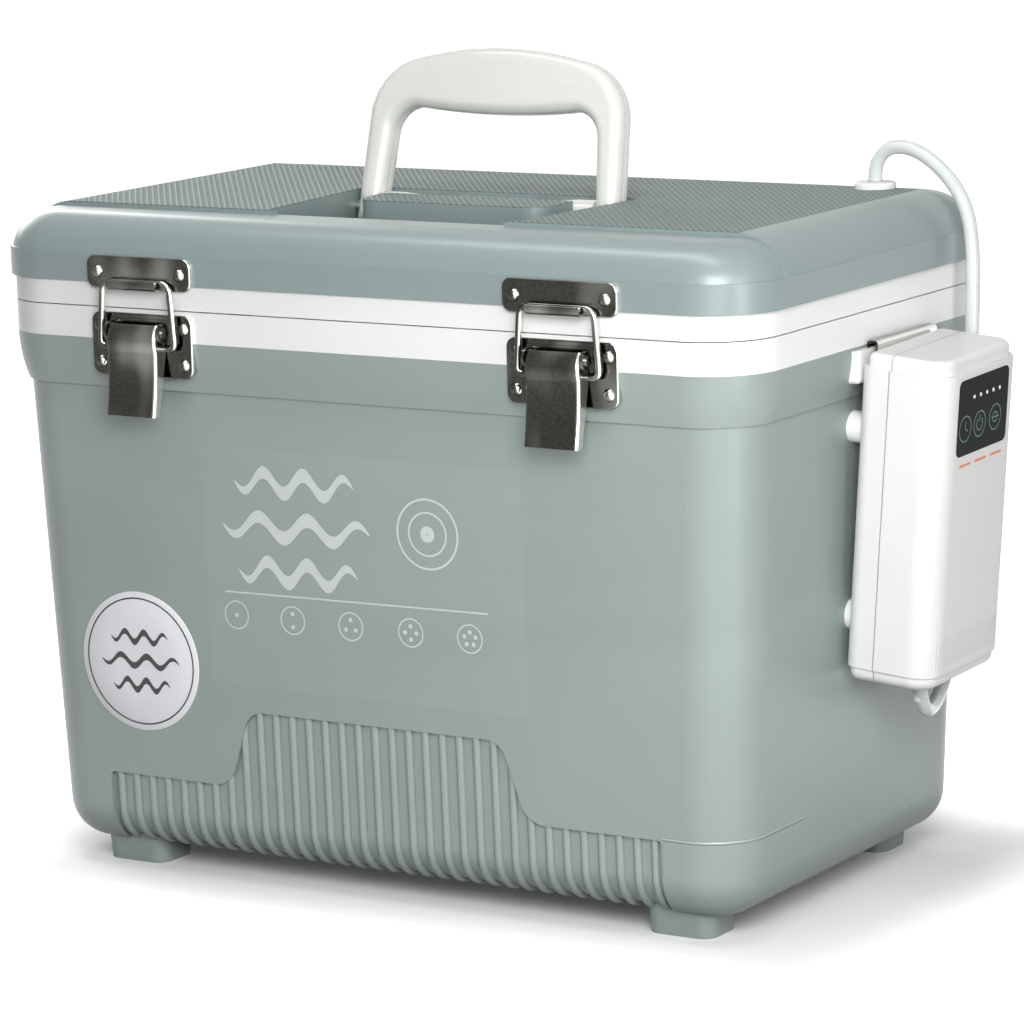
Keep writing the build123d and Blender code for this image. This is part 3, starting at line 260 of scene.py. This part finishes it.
def stretchedNoise(tree, place, scale, detail, distortion=0.0):
    # Noise on Object coordinates, with its own scale along each axis
    stretch = tree.nodes.new("ShaderNodeMapping")
    stretch.inputs["Scale"].default_value = scale
    tree.links.new(place.outputs["Object"], stretch.inputs["Vector"])
    noise = tree.nodes.new("ShaderNodeTexNoise")
    noise.inputs["Scale"].default_value = 1.0
    noise.inputs["Detail"].default_value = detail
    noise.inputs["Distortion"].default_value = distortion
    tree.links.new(stretch.outputs["Vector"], noise.inputs["Vector"])
    return noise.outputs["Fac"]


def softStep(tree, value, low, high, start=0.0, end=1.0):
    # Smooth rise from start to end while the value goes from low to high
    step = tree.nodes.new("ShaderNodeMapRange")
    step.interpolation_type = "SMOOTHSTEP"
    step.inputs["From Min"].default_value = low
    step.inputs["From Max"].default_value = high
    step.inputs["To Min"].default_value = start
    step.inputs["To Max"].default_value = end
    tree.links.new(value, step.inputs["Value"])
    return step.outputs["Result"]


coatGloss = 0.1
glowReach = (0.004, 0.004, 0.004)


def plainFinish(name, look):
    # Moulded plastic, rubber or metal: two close tones, uneven gloss, fine grain
    material, tree, surface = newMaterial(name)
    place, group = placeHandled(tree, surface, look)
    twoTone(tree, surface, group.outputs["Tone"], look["dark"], look["light"])
    surface.inputs["Metallic"].default_value = look.get("metal", 0.0)
    surface.inputs["Coat Weight"].default_value = look.get("coat", 0.0)
    surface.inputs["Coat Roughness"].default_value = coatGloss
    surface.inputs["Subsurface Weight"].default_value = look.get("glow", 0.0)
    surface.inputs["Subsurface Radius"].default_value = glowReach
    surface.inputs["Subsurface Scale"].default_value = 1.0
    surface.inputs["Specular IOR Level"].default_value = look.get("specular", 0.5)
    return material


finishes = {
    "whiteBand": dict(dark=(0.80, 0.81, 0.80), light=(0.86, 0.87, 0.86),
                      rough=0.32, spread=0.12, patch=14, grain=0.00003),
    "handleWhite": dict(dark=(0.68, 0.69, 0.65), light=(0.735, 0.745, 0.705),
                        rough=0.26, spread=0.1, patch=25, grain=0.00002, coat=0.3),
    "pumpWhite": dict(dark=(0.70, 0.70, 0.685), light=(0.75, 0.75, 0.74),
                      rough=0.36, spread=0.1, patch=30, grain=0.00004),
    "bumperRubber": dict(dark=(0.78, 0.78, 0.76), light=(0.83, 0.83, 0.81),
                         rough=0.5, spread=0.1, patch=40, grain=0.00005),
    "foamFill": dict(dark=(0.78, 0.72, 0.52), light=(0.86, 0.80, 0.62),
                     rough=0.9, spread=0.1, patch=60, grain=0.0003),
    "sealRubber": dict(dark=(0.30, 0.32, 0.32), light=(0.36, 0.38, 0.38),
                       rough=0.6, spread=0.1, patch=40, grain=0.00005),
    "milkyHose": dict(dark=(0.58, 0.62, 0.62), light=(0.66, 0.70, 0.70),
                      rough=0.22, spread=0.1, patch=50, grain=0.00001, coat=0.4, glow=0.25),
    # Nickel's tones are far darker than bare nickel: painted shade standing in for the dark room that the
    # metal reflects
    "nickelSteel": dict(dark=(0.016, 0.016, 0.013), light=(0.075, 0.074, 0.064),
                        rough=0.17, spread=0.16, patch=70, grain=0.00001, metal=1.0),
    "brushedSteel": dict(dark=(0.50, 0.50, 0.50), light=(0.58, 0.58, 0.58),
                         rough=0.32, spread=0.12, patch=60, grain=0.00002, metal=1.0),
    "blackPanel": dict(dark=(0.003, 0.003, 0.003), light=(0.006, 0.006, 0.006),
                       rough=0.3, spread=0.06, patch=50, grain=0.000005, specular=0.03),
    "ledLens": dict(dark=(0.80, 0.84, 0.82), light=(0.90, 0.94, 0.92),
                    rough=0.3, spread=0.05, patch=90, grain=0.00001),
    "circuitGreen": dict(dark=(0.02, 0.14, 0.06), light=(0.03, 0.20, 0.09),
                         rough=0.4, spread=0.1, patch=90, grain=0.00004),
    "cellWrap": dict(dark=(0.05, 0.12, 0.32), light=(0.07, 0.16, 0.40),
                     rough=0.35, spread=0.1, patch=60, grain=0.00002),
    "airStone": dict(dark=(0.16, 0.22, 0.30), light=(0.26, 0.33, 0.42),
                     rough=0.95, spread=0.1, patch=200, grain=0.0006),
    "labelFace": dict(dark=(0.78, 0.79, 0.82), light=(0.83, 0.84, 0.87),
                      rough=0.32, spread=0.08, patch=30, grain=0.00001),
    "labelInk": dict(dark=(0.012, 0.013, 0.014), light=(0.022, 0.023, 0.024),
                     rough=0.35, spread=0.08, patch=60, grain=0.00001),
    "wallInk": dict(dark=(0.56, 0.61, 0.60), light=(0.64, 0.69, 0.68),
                    rough=0.4, spread=0.08, patch=60, grain=0.00001),
    "signGreen": dict(dark=(0.012, 0.11, 0.06), light=(0.02, 0.17, 0.09),
                      rough=0.3, spread=0.05, patch=60, grain=0.00001),
    "dashRed": dict(dark=(0.70, 0.17, 0.09), light=(0.80, 0.24, 0.14),
                    rough=0.4, spread=0.05, patch=60, grain=0.00001),
}

rimLow, rimHigh = span("tub_liner")
tubMiddle = ((rimLow + rimHigh) / 2)[:2]
# Pearl plastic of both shells: faint flow clouds in the colour, a satin body with little metal in it
pearl = dict(dark=(0.235, 0.282, 0.263), light=(0.325, 0.380, 0.358), rough=0.36, spread=0.12, patch=9,
             grain=0.00002, metal=0.12, specular=0.38, flow=(3.0, 3.0, 11.0), flowDetail=4, flowTwist=1.2,
             lidDark=(0.200, 0.258, 0.254), lidLight=(0.285, 0.348, 0.343), lidCoat=0.22, lidCoatRough=0.22)
# Net of fine slanting ridges on the flat of the lid
tread = dict(pitch=0.0025, slant=1.35, ridge=0.32, height=0.00035, top=0.2864, reach=0.165,
             ground=(0.115, 0.155, 0.145), crest=(0.275, 0.325, 0.308), crestShare=0.8, rough=0.62)
# Step line round the tub's right front corner, its pale tone a painted highlight along the step, and the
# clear film over the printed marks
stepAndHighlight = dict(height=0.0436, start=0.1372, back=-0.045, width=0.0007, depth=0.0004,
                tone=(0.55, 0.60, 0.58), share=0.7)
film = dict(left=-0.080, right=0.077, low=0.088, high=0.190, front=-0.09,
            tone=(0.40, 0.455, 0.43), share=0.10)


def pearlShell(name, dark, light):
    material, tree, surface = newMaterial(name)
    place, group = placeHandled(tree, surface, pearl)
    flow = stretchedNoise(tree, place, pearl["flow"], pearl["flowDetail"], pearl["flowTwist"])
    twoTone(tree, surface, flow, dark, light)
    surface.inputs["Metallic"].default_value = pearl["metal"]
    surface.inputs["Specular IOR Level"].default_value = pearl["specular"]
    return material, tree, surface, place


def lidPearl(name):
    material, tree, surface, place = pearlShell(name, pearl["lidDark"], pearl["lidLight"])
    surface.inputs["Coat Roughness"].default_value = pearl["lidCoatRough"]
    spacing = tread["pitch"] * (1 + tread["slant"] ** 2) ** 0.5
    ridges = []
    for sign in (1.0, -1.0):
        slant = placeAlong(tree, place, (tread["slant"], sign, 0), 0)["Distance"]
        phase = mathNode(tree, "PINGPONG", mathNode(tree, "DIVIDE", slant, spacing), 0.5)
        share = mathNode(tree, "DIVIDE", phase, tread["ridge"])
        ridges.append(mathNode(tree, "SUBTRACT", 1.0, share, clamp=True))
    net = mathNode(tree, "MAXIMUM", *ridges)
    high = placeAlong(tree, place, (0, 0, 1), tread["top"])["Distance"]
    wide = placeAlong(tree, place, (1, 0, 0), tubMiddle[0])["Distance"]
    flat = together(tree, mathNode(tree, "GREATER_THAN", high, 0.0),
                    between(tree, wide, -tread["reach"], tread["reach"]))
    tintWhere(tree, surface, flat, tread["ground"])
    ridge = together(tree, flat, net)
    tintWhere(tree, surface, ridge, tread["crest"], tread["crestShare"])
    addRelief(tree, surface, ridge, tread["height"])
    # The flat is dull and has no coat
    dull = tree.nodes.new("ShaderNodeMix")
    bare = tree.nodes.new("ShaderNodeMix")
    tree.links.new(surface.inputs["Roughness"].links[0].from_socket, dull.inputs["A"])
    dull.inputs["B"].default_value = tread["rough"]
    bare.inputs["A"].default_value = pearl["lidCoat"]
    bare.inputs["B"].default_value = 0.0
    for mix, socket in ((dull, "Roughness"), (bare, "Coat Weight")):
        tree.links.new(flat, mix.inputs["Factor"])
        tree.links.new(mix.outputs["Result"], surface.inputs[socket])
    return material


def tubPearl(name):
    material, tree, surface, place = pearlShell(name, pearl["dark"], pearl["light"])
    line = placeAlong(tree, place, (0, 0, 1), stepAndHighlight["height"], stepAndHighlight["width"])["Line"]
    side = placeAlong(tree, place, (1, 0, 0), tubMiddle[0])["Distance"]
    depth = placeAlong(tree, place, (0, 1, 0), tubMiddle[1])["Distance"]
    level = placeAlong(tree, place, (0, 0, 1), 0)["Distance"]
    step = together(tree, line, mathNode(tree, "GREATER_THAN", side, stepAndHighlight["start"]),
                    mathNode(tree, "LESS_THAN", depth, stepAndHighlight["back"]))
    # Painted highlight: the step's line is tinted pale, as if light caught its edge; its relief below is real
    tintWhere(tree, surface, step, stepAndHighlight["tone"], stepAndHighlight["share"])
    addRelief(tree, surface, step, stepAndHighlight["depth"])
    sheet = together(tree, between(tree, side, film["left"], film["right"]),
                     between(tree, level, film["low"], film["high"]),
                     mathNode(tree, "LESS_THAN", depth, film["front"]))
    tintWhere(tree, surface, sheet, film["tone"], film["share"])
    return material


# Nickel plate of the latches: dark with painted shade and finely speckled on its flats, with patches of
# painted reflection, and a painted highlight where it turns right or up
nickel = dict(speckle=900.0, speckleDetail=3,
              reflectionPatch=(48.0, 48.0, 30.0), reflectionPatchDetail=1, reflectionPatchLow=0.48, reflectionPatchHigh=0.80,
              paintedReflection=(0.20, 0.196, 0.178), towards=(0.95, 0.0, 0.31), highlightLow=0.16, highlightHigh=0.70,
              rim=(0.86, 0.85, 0.80))


def nickelPlate(name):
    material = plainFinish(name, finishes[name])
    tree = material.node_tree
    surface = tree.nodes["Principled BSDF"]
    tones = surface.inputs["Base Color"].links[0].from_node
    place = tree.nodes.new("ShaderNodeTexCoord")
    speckle = tree.nodes.new("ShaderNodeTexNoise")
    speckle.inputs["Scale"].default_value = nickel["speckle"]
    speckle.inputs["Detail"].default_value = nickel["speckleDetail"]
    tree.links.new(place.outputs["Object"], speckle.inputs["Vector"])
    tree.links.new(speckle.outputs["Fac"], tones.inputs["Factor"])
    reflectionPatch = stretchedNoise(tree, place, nickel["reflectionPatch"], nickel["reflectionPatchDetail"])
    towards = tree.nodes.new("ShaderNodeVectorMath")
    towards.operation = "DOT_PRODUCT"
    towards.inputs[1].default_value = nickel["towards"]
    tree.links.new(tree.nodes.new("ShaderNodeNewGeometry").outputs["Normal"], towards.inputs[0])
    # Painted reflection: soft noise patches lighten the flats towards a pale tone, as if bright surroundings
    # showed in the metal
    tintWhere(tree, surface, softStep(tree, reflectionPatch, nickel["reflectionPatchLow"], nickel["reflectionPatchHigh"]), nickel["paintedReflection"])
    # Painted highlight: where the surface faces right or up, its colour turns towards the pale rim tone, as
    # if a lamp shone on those edges
    paintedHighlight = softStep(tree, towards.outputs["Value"], nickel["highlightLow"], nickel["highlightHigh"])
    tintWhere(tree, surface, paintedHighlight, nickel["rim"])
    return material


# Pump housing: white plastic with a parting seam and a band of fine upright ribs low on the front, greyed
# between the ribs with painted shade
lean, swing = radians(5.0), radians(1.4)
pump = dict(foot=Vector((tubMiddle[0] + 0.17628, tubMiddle[1] + 0.01494, 0.09736)),
            thickness=0.0395, panelProud=0.0002,
            split=0.0135, seamWidth=0.00035, seamDepth=0.0004, seamTone=(0.42, 0.42, 0.41), seamShare=0.8,
            ribLow=0.0095, ribHigh=0.0215, ribPitch=0.0016, ribReach=0.029, ribFront=0.012, ribDepth=0.0004,
            ribShadeTone=(0.60, 0.60, 0.59), ribShadeShare=0.5)
pumpUp = Vector((sin(lean) * cos(swing), -sin(swing), cos(lean) * cos(swing)))
pumpOut = Vector((cos(lean), 0, -sin(lean)))
pumpAcross = pumpUp.cross(pumpOut)


def pumpPlastic(name):
    material = plainFinish(name, finishes[name])
    tree = material.node_tree
    surface = tree.nodes["Principled BSDF"]
    place = tree.nodes.new("ShaderNodeTexCoord")
    outward = placeAlong(tree, place, pumpOut, pumpOut.dot(pump["foot"]) + pump["split"], pump["seamWidth"])
    side = placeAlong(tree, place, pumpAcross, pumpAcross.dot(pump["foot"]))["Distance"]
    rise = placeAlong(tree, place, pumpUp, pumpUp.dot(pump["foot"]))["Distance"]
    tintWhere(tree, surface, outward["Line"], pump["seamTone"], pump["seamShare"])
    addRelief(tree, surface, mathNode(tree, "MULTIPLY", outward["Line"], -1.0), pump["seamDepth"])
    wave = mathNode(tree, "PINGPONG", mathNode(tree, "DIVIDE", side, pump["ribPitch"]), 0.5)
    band = together(tree, between(tree, rise, pump["ribLow"], pump["ribHigh"]),
                    between(tree, side, -pump["ribReach"], pump["ribReach"]),
                    mathNode(tree, "GREATER_THAN", outward["Distance"], pump["ribFront"]))
    # Painted shade: each rib is greyed in a ramp across its pitch, as if shade lay between the ribs; the bump
    # from the same mask is real relief
    ribReliefAndShade = together(tree, band, wave)
    tintWhere(tree, surface, ribReliefAndShade, pump["ribShadeTone"], pump["ribShadeShare"])
    addRelief(tree, surface, ribReliefAndShade, pump["ribDepth"])
    return material


# One material for each finish, and the finish of each slot of the solids
special = {"nickelSteel": nickelPlate, "pumpWhite": pumpPlastic}
materials = {name: special[name](name) if name in special else plainFinish(name, look)
             for name, look in finishes.items()}
materials["tubPearl"] = tubPearl("tubPearl")
materials["lidPearl"] = lidPearl("lidPearl")
slotFinish = {"shell": "tubPearl", "liner": "whiteBand", "foam": "foamFill", "seal": "sealRubber",
              "handle": "handleWhite", "pump": "pumpWhite", "panel": "blackPanel", "leds": "ledLens",
              "steel": "nickelSteel", "rod": "brushedSteel", "board": "circuitGreen", "battery": "cellWrap",
              "rubber": "bumperRubber", "hose": "milkyHose", "stone": "airStone"}
for entry in frame["record"]["subparts"]:
    finish = slotFinish[entry["material_slot"]]
    if entry["node"] == "lid_shell":
        finish = "lidPearl"
    node = nodes[entry["node"]]
    node.data.materials.clear()
    node.data.materials.append(materials[finish])
print("finishes placed")


# Round label and printed marks on the front wall

wall = dict(top=0.2128, depth=0.1062, slope=tan(radians(1.6)))
label = dict(x=-0.1174, z=0.0936, radius=0.0304, thickness=0.0003, rounding=0.0002, ring=0.0272,
             ringWidth=0.0007, around=96, inkLift=0.00006,
             waves=((0.0105, 0.0150), (0.0, 0.0205), (-0.0105, 0.0150)),
             waveSwing=0.0022, waveWidth=0.0030)
marks = dict(lift=0.00012, wavesAt=(-0.0335, 0.1575), waves=((0.019, 0.030), (0.0, 0.037), (-0.019, 0.030)),
             waveSwing=0.0042, waveWidth=0.0062, waveCount=3,
             discAt=(0.0317, 0.1605), discRings=((0.0141, 0.0150), (0.0086, 0.0094), (0.0004, 0.0034)),
             ruleLeft=(-0.0712, 0.1282), ruleRight=(0.0593, 0.1296), ruleHalf=0.00035,
             icons=(-0.0657, -0.0372, -0.0082, 0.0214, 0.0501), iconHeight=0.1184, iconRing=(0.0056, 0.0062),
             iconAround=40, dot=(0.0001, 0.00095), dotAround=16, dotReach=0.0028)


def onWall(x, z, lift):
    # The front wall at x and z, moved out along the wall's own normal by the lift
    x, z, lift = np.broadcast_arrays(x, z, lift)
    scale = (1 + wall["slope"] ** 2) ** 0.5
    y = -wall["depth"] + (wall["top"] - z) * wall["slope"]
    return np.stack([x + tubMiddle[0], y + tubMiddle[1] - lift / scale, z - lift * wall["slope"] / scale], -1)


def roundSheet(x, z, radii, lifts, around=64):
    # Rings about (x, z): radius r at angle a stands at (x + r cos a, z + r sin a)
    angle = np.linspace(0, 2 * pi, around, endpoint=False)[None, :]
    radius, lift = np.asarray(radii)[:, None], np.asarray(lifts)[:, None]
    return onWall(x + radius * np.cos(angle), z + radius * np.sin(angle), lift)[:, ::-1], True


def waveSheet(x, z, half, swingHeight, width, lift):
    # A ribbon z(x) = swing * sin(pi waves x / half), thinning to nothing at both ends
    run = np.linspace(-1, 1, 97)[None, :]
    middle = swingHeight * np.sin(pi * marks["waveCount"] * run)
    body = np.array([[1], [-1]]) * width / 2 * np.sqrt(1 - run ** 2)
    return onWall(x + half * run, z + middle + body, lift), False


x, z, edge, rim = label["x"], label["z"], label["thickness"], label["radius"]
frontLabel = sheetPiece("frontLabel", [
    roundSheet(x, z, [0.0004, 0.015, rim - label["rounding"], rim, rim],
               [edge, edge, edge, 0.6 * edge, -0.0001], label["around"])])
lift = edge + label["inkLift"]
labelInk = [roundSheet(x, z, [label["ring"], label["ring"] + label["ringWidth"]], [lift] * 2,
                       label["around"])]
labelInk += [waveSheet(x, z + rise, half, label["waveSwing"], label["waveWidth"], lift)
             for rise, half in label["waves"]]
labelPrint = sheetPiece("labelPrint", labelInk)

lift = marks["lift"]
x, z = marks["wavesAt"]
wallInk = [waveSheet(x, z + rise, half, marks["waveSwing"], marks["waveWidth"], lift)
           for rise, half in marks["waves"]]
wallInk += [roundSheet(*marks["discAt"], ring, [lift] * 2) for ring in marks["discRings"]]
(left, leftHeight), (right, rightHeight) = marks["ruleLeft"], marks["ruleRight"]
ruleHeight = np.array([[leftHeight, rightHeight]]) + np.array([[1], [-1]]) * marks["ruleHalf"]
wallInk.append((onWall(np.array([[left, right]]), ruleHeight, lift), False))
for count, x in enumerate(marks["icons"], 1):
    wallInk.append(roundSheet(x, marks["iconHeight"], marks["iconRing"], [lift] * 2, marks["iconAround"]))
    reach = marks["dotReach"] if count > 1 else 0.0
    for angle in np.arange(count) * 2 * pi / count + pi / 2:
        wallInk.append(roundSheet(x + reach * cos(angle), marks["iconHeight"] + reach * sin(angle),
                                  marks["dot"], [lift] * 2, marks["dotAround"]))
wallPrint = sheetPiece("wallPrint", wallInk)
for piece, finish in ((frontLabel, "labelFace"), (labelPrint, "labelInk"), (wallPrint, "wallInk")):
    finishWith(piece, materials[finish], "tub")
print("label and marks placed")


# Rings and signs on the control panel, and three dashes below it

panelMarks = dict(centres=((-0.0159, 0.1078), (-0.0028, 0.1078), (0.0113, 0.1082)), radius=0.0055,
                  line=0.0005, lift=0.00006, innerRing=0.0024, innerFrom=radians(125),
                  innerTurn=radians(290), smallRing=0.0018, dashHeight=0.0925, dashWidth=0.0011,
                  dashes=((-0.0190, -0.0085), (-0.0050, 0.0055), (0.0090, 0.0195)))


def onPump(side, rise, lift):
    # A place on the pump's front: foot + (thickness + lift) * out + side * across + rise * up
    side, rise, lift = np.broadcast_arrays(side, rise, lift)
    return (np.array(pump["foot"]) + (pump["thickness"] + lift)[..., None] * np.array(pumpOut)
            + side[..., None] * np.array(pumpAcross) + rise[..., None] * np.array(pumpUp))


def panelRing(side, rise, inner, outer, start=0.0, turn=2 * pi, around=40):
    # A flat ring, or a part of one, about a place on the panel
    angle = np.linspace(start, start + turn, around + 1)[None, :]
    radius = np.array([[inner], [outer]])
    return onPump(side + radius * np.cos(angle), rise + radius * np.sin(angle), proud), False


def pumpBar(start, end, width, lift):
    # A straight stroke between two places on the pump's front
    first, last = np.array(start), np.array(end)
    across = np.array([first[1] - last[1], last[0] - first[0]])
    across *= width / 2 / np.linalg.norm(across)
    corners = np.array([[first + across, last + across], [first - across, last - across]])
    return onPump(corners[..., 0], corners[..., 1], lift), False


radius, line, inner, small = (panelMarks[key] for key in ("radius", "line", "innerRing", "smallRing"))
proud = pump["panelProud"] + panelMarks["lift"]
signs = [panelRing(side, rise, radius - line, radius) for side, rise in panelMarks["centres"]]
(leftSide, leftRise), (midSide, midRise), (rightSide, rightRise) = panelMarks["centres"]
# Left a clock's hands, in the middle an open ring with a stroke, right a small ring with a bar
strokes = (((leftSide, leftRise), (leftSide, leftRise + 0.0032)),
           ((leftSide, leftRise), (leftSide + 0.0024, leftRise - 0.0012)),
           ((midSide, midRise + 0.0008), (midSide, midRise + 0.0036)),
           ((rightSide - 0.0034, rightRise), (rightSide + 0.0034, rightRise)))
signs += [pumpBar(start, end, line, proud) for start, end in strokes]
signs += [panelRing(midSide, midRise, inner, inner + line, panelMarks["innerFrom"], panelMarks["innerTurn"]),
          panelRing(rightSide, rightRise, small, small + line)]
panelSigns = sheetPiece("panelSigns", signs)
dashes = sheetPiece("pumpDashes", [
    pumpBar((left, panelMarks["dashHeight"]), (right, panelMarks["dashHeight"]), panelMarks["dashWidth"],
            panelMarks["lift"]) for left, right in panelMarks["dashes"]])
finishWith(panelSigns, materials["signGreen"], "tub")
finishWith(dashes, materials["dashRed"], "tub")
print("panel marked")


# Hoses: NURBS routes, then tubes carried along them

def routeLine(points):
    # Points along the smooth spline whose control points are the hose's route
    curve = bpy.data.curves.new("route", "CURVE")
    curve.dimensions = "3D"
    curve.resolution_u = 16
    spline = curve.splines.new("NURBS")
    spline.points.add(len(points) - 1)
    spline.points.foreach_set("co", np.c_[np.asarray(points), np.ones(len(points))].ravel())
    spline.order_u = 3
    spline.use_endpoint_u = True
    holder = bpy.data.objects.new("route", curve)
    scene.collection.objects.link(holder)
    line = bpy.data.meshes.new_from_object(holder)
    path = np.array([vertex.co for vertex in line.vertices])
    bpy.data.objects.remove(holder)
    bpy.data.meshes.remove(line)
    return path


def tubeAlong(name, path, radius, aside, around=24):
    # p(s, a) = path(s) + radius * (cos a * side(s) + sin a * over(s)), closed at both ends
    forward = np.gradient(path, axis=0)
    forward /= np.linalg.norm(forward, axis=1)[:, None]
    side = np.cross(forward, aside)
    side /= np.linalg.norm(side, axis=1)[:, None]
    over = np.cross(forward, side)
    angle = np.linspace(0, 2 * pi, around, endpoint=False)
    ring = np.cos(angle)[None, :, None] * side[:, None] + np.sin(angle)[None, :, None] * over[:, None]
    points = path[:, None] + radius * ring
    faces = gridFaces(len(path), around, closed=True)
    last = (len(path) - 1) * around
    faces += [list(range(around))[::-1], list(range(last, last + around))]
    return meshPiece(name, points, faces)


# Both hoses start at the grommet in the lid
hoseSpec = dict(diameter=0.006, bendLow=0.190, bendHigh=0.287, aside=(0.7, 0.7, 0))
outerRoute = np.array([
    (0.145, 0.076, 0.2894),
    (0.145, 0.076, 0.3032),
    (0.165, 0.0754, 0.3056),
    (0.1902, 0.0695, 0.2866),
    (0.1949, 0.0686, 0.2598),
    (0.1928, 0.0675, 0.2120),
    (0.1905, 0.0609, 0.1320),
    (0.1885, 0.0520, 0.0820),
    (0.2008, 0.0045, 0.0755),
    (0.20002, 0.00298, 0.09338),
]) + (*tubMiddle, 0)
outerPath = routeLine(outerRoute)
outerHose = tubeAlong("outerHose", outerPath, hoseSpec["diameter"] / 2, hoseSpec["aside"])
finishWith(outerHose, materials["milkyHose"], None)
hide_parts("hose_upper", "hose_lower")
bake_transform(outerHose)

innerSpec = dict(bendLow=0.100, bendHigh=0.240, aside=(0.7, -0.7, 0))
innerRoute = np.array([
    (0.145, 0.076, 0.2422),
    (0.144, 0.0745, 0.2010),
    (0.129, 0.058, 0.1410),
    (0.112, 0.031, 0.0800),
    (0.086, 0.009, 0.0450),
    (0.056, -0.006, 0.0400),
]) + (*tubMiddle, 0)
innerPath = routeLine(innerRoute)
innerHose = tubeAlong("innerHose", innerPath, hoseSpec["diameter"] / 2, innerSpec["aside"])
finishWith(innerHose, materials["milkyHose"], None)
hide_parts("inner_hose")
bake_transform(innerHose)
print("hoses laid")


# Floor, backdrop, light and camera

# floorTone is the floor as the camera sees it, bounceTone as the object receives it
studio = dict(floorSize=60.0, world=0.15, floorTone=0.90, bounceTone=0.25, floorRough=0.9, nearGlow=0.04,
              farGlow=1.0, shadeCore=(0.165, 0.095), fade=0.10, aim=(0, 0, 0.14))
lamps = dict(
    keyLight=dict(place=(1.0, -1.9, 1.3), size=(1.2, 1.0), power=8.0),
    nearKey=dict(place=(0.50, -0.68, 0.46), size=(0.4, 0.4), power=5.8),
    cornerStrip=dict(place=(0.98, -0.42, 0.30), size=(0.26, 0.80), power=3.2),
    topStrip=dict(place=(-0.10, -0.25, 1.25), size=(1.1, 0.16), power=4.2),
    backRim=dict(place=(-1.7, 1.0, 0.9), size=(1.2, 0.8), power=14.0))


def shownWhite(tree):
    # 1 for what the camera sees, itself or in a mirror or through a clear piece
    path = tree.nodes.new("ShaderNodeLightPath")
    seen = mathNode(tree, "MAXIMUM", path.outputs["Is Camera Ray"], path.outputs["Is Glossy Ray"])
    return mathNode(tree, "MAXIMUM", seen, path.outputs["Is Transmission Ray"])


def shownOr(tree, hidden, shown):
    # One value for what the camera sees and another for the light that the surface sends out
    choice = tree.nodes.new("ShaderNodeMapRange")
    choice.inputs["To Min"].default_value = hidden
    choice.inputs["To Max"].default_value = shown
    tree.links.new(shownWhite(tree), choice.inputs["Value"])
    return choice.outputs["Result"]


def paleFloor(name):
    # Pale floor that keeps the shadow; its own glow rises away from the object until it is plain white, and
    # the floor round the object, left without glow, is greyed with painted shade beside the real shadow
    material, tree, surface = newMaterial(name)
    tree.links.new(shownOr(tree, studio["bounceTone"], studio["floorTone"]), surface.inputs["Base Color"])
    surface.inputs["Roughness"].default_value = studio["floorRough"]
    surface.inputs["Specular IOR Level"].default_value = 0.0
    vector = tree.nodes.new("ShaderNodeTexCoord").outputs["Object"]
    for operation, value in (("ABSOLUTE", None), ("SUBTRACT", (*studio["shadeCore"], 0)), ("MAXIMUM", (0, 0, 0))):
        step = tree.nodes.new("ShaderNodeVectorMath")
        step.operation = operation
        tree.links.new(vector, step.inputs[0])
        if value:
            step.inputs[1].default_value = value
        vector = step.outputs["Vector"]
    distance = tree.nodes.new("ShaderNodeVectorMath")
    distance.operation = "LENGTH"
    tree.links.new(vector, distance.inputs[0])
    # Painted shade: the glow is nearly nothing over a box round the object's footprint and rises to plain
    # white over the fade, greying the floor near the object
    glow = softStep(tree, distance.outputs["Value"], 0.0, studio["fade"],
                    studio["nearGlow"], studio["farGlow"])
    surface.inputs["Emission Color"].default_value = (1, 1, 1, 1)
    tree.links.new(mathNode(tree, "MULTIPLY", glow, shownWhite(tree)), surface.inputs["Emission Strength"])
    return material


def areaLight(name, place, size, power):
    light = bpy.data.lights.new(name, "AREA")
    light.shape = "RECTANGLE"
    light.size, light.size_y = size
    light.energy = power
    lamp = bpy.data.objects.new(name, light)
    aim = (Vector(studio["aim"]) - Vector(place)).to_track_quat("-Z", "Y")
    lamp.matrix_world = Matrix.Translation(place) @ aim.to_matrix().to_4x4()
    scene.collection.objects.link(lamp)


half = studio["floorSize"] / 2
floorSheet = meshPiece("floor", [(-half, -half, 0), (half, -half, 0), (half, half, 0), (-half, half, 0)],
                       [(0, 1, 2, 3)])
floorSheet.data.materials.append(paleFloor("paleFloor"))

world = bpy.data.worlds.new("studio")
scene.world = world
world.use_nodes = True
worldTree = world.node_tree
background = worldTree.nodes["Background"]
background.inputs["Color"].default_value = (1, 1, 1, 1)
worldTree.links.new(shownOr(worldTree, studio["world"], 1.0), background.inputs["Strength"])
for name, lamp in lamps.items():
    areaLight(name, **lamp)

cameraSet = dict(place=(tubMiddle[0] + 1.0208, tubMiddle[1] - 1.6252, 0.5027),
                 turn=31.95, dip=10.43, roll=-1.52, lens=159.3, sensor=36, reach=20)
cameraData = bpy.data.cameras.new("camera")
cameraData.lens = cameraSet["lens"]
cameraData.sensor_width = cameraSet["sensor"]
cameraData.clip_end = cameraSet["reach"]
camera = bpy.data.objects.new("camera", cameraData)
camera.matrix_world = (Matrix.Translation(cameraSet["place"])
                       @ Matrix.Rotation(radians(cameraSet["turn"]), 4, "Z")
                       @ Matrix.Rotation(radians(90 - cameraSet["dip"]), 4, "X")
                       @ Matrix.Rotation(radians(cameraSet["roll"]), 4, "Z"))
scene.collection.objects.link(camera)
scene.camera = camera
scene.view_settings.view_transform = "Standard"
print("studio ready")
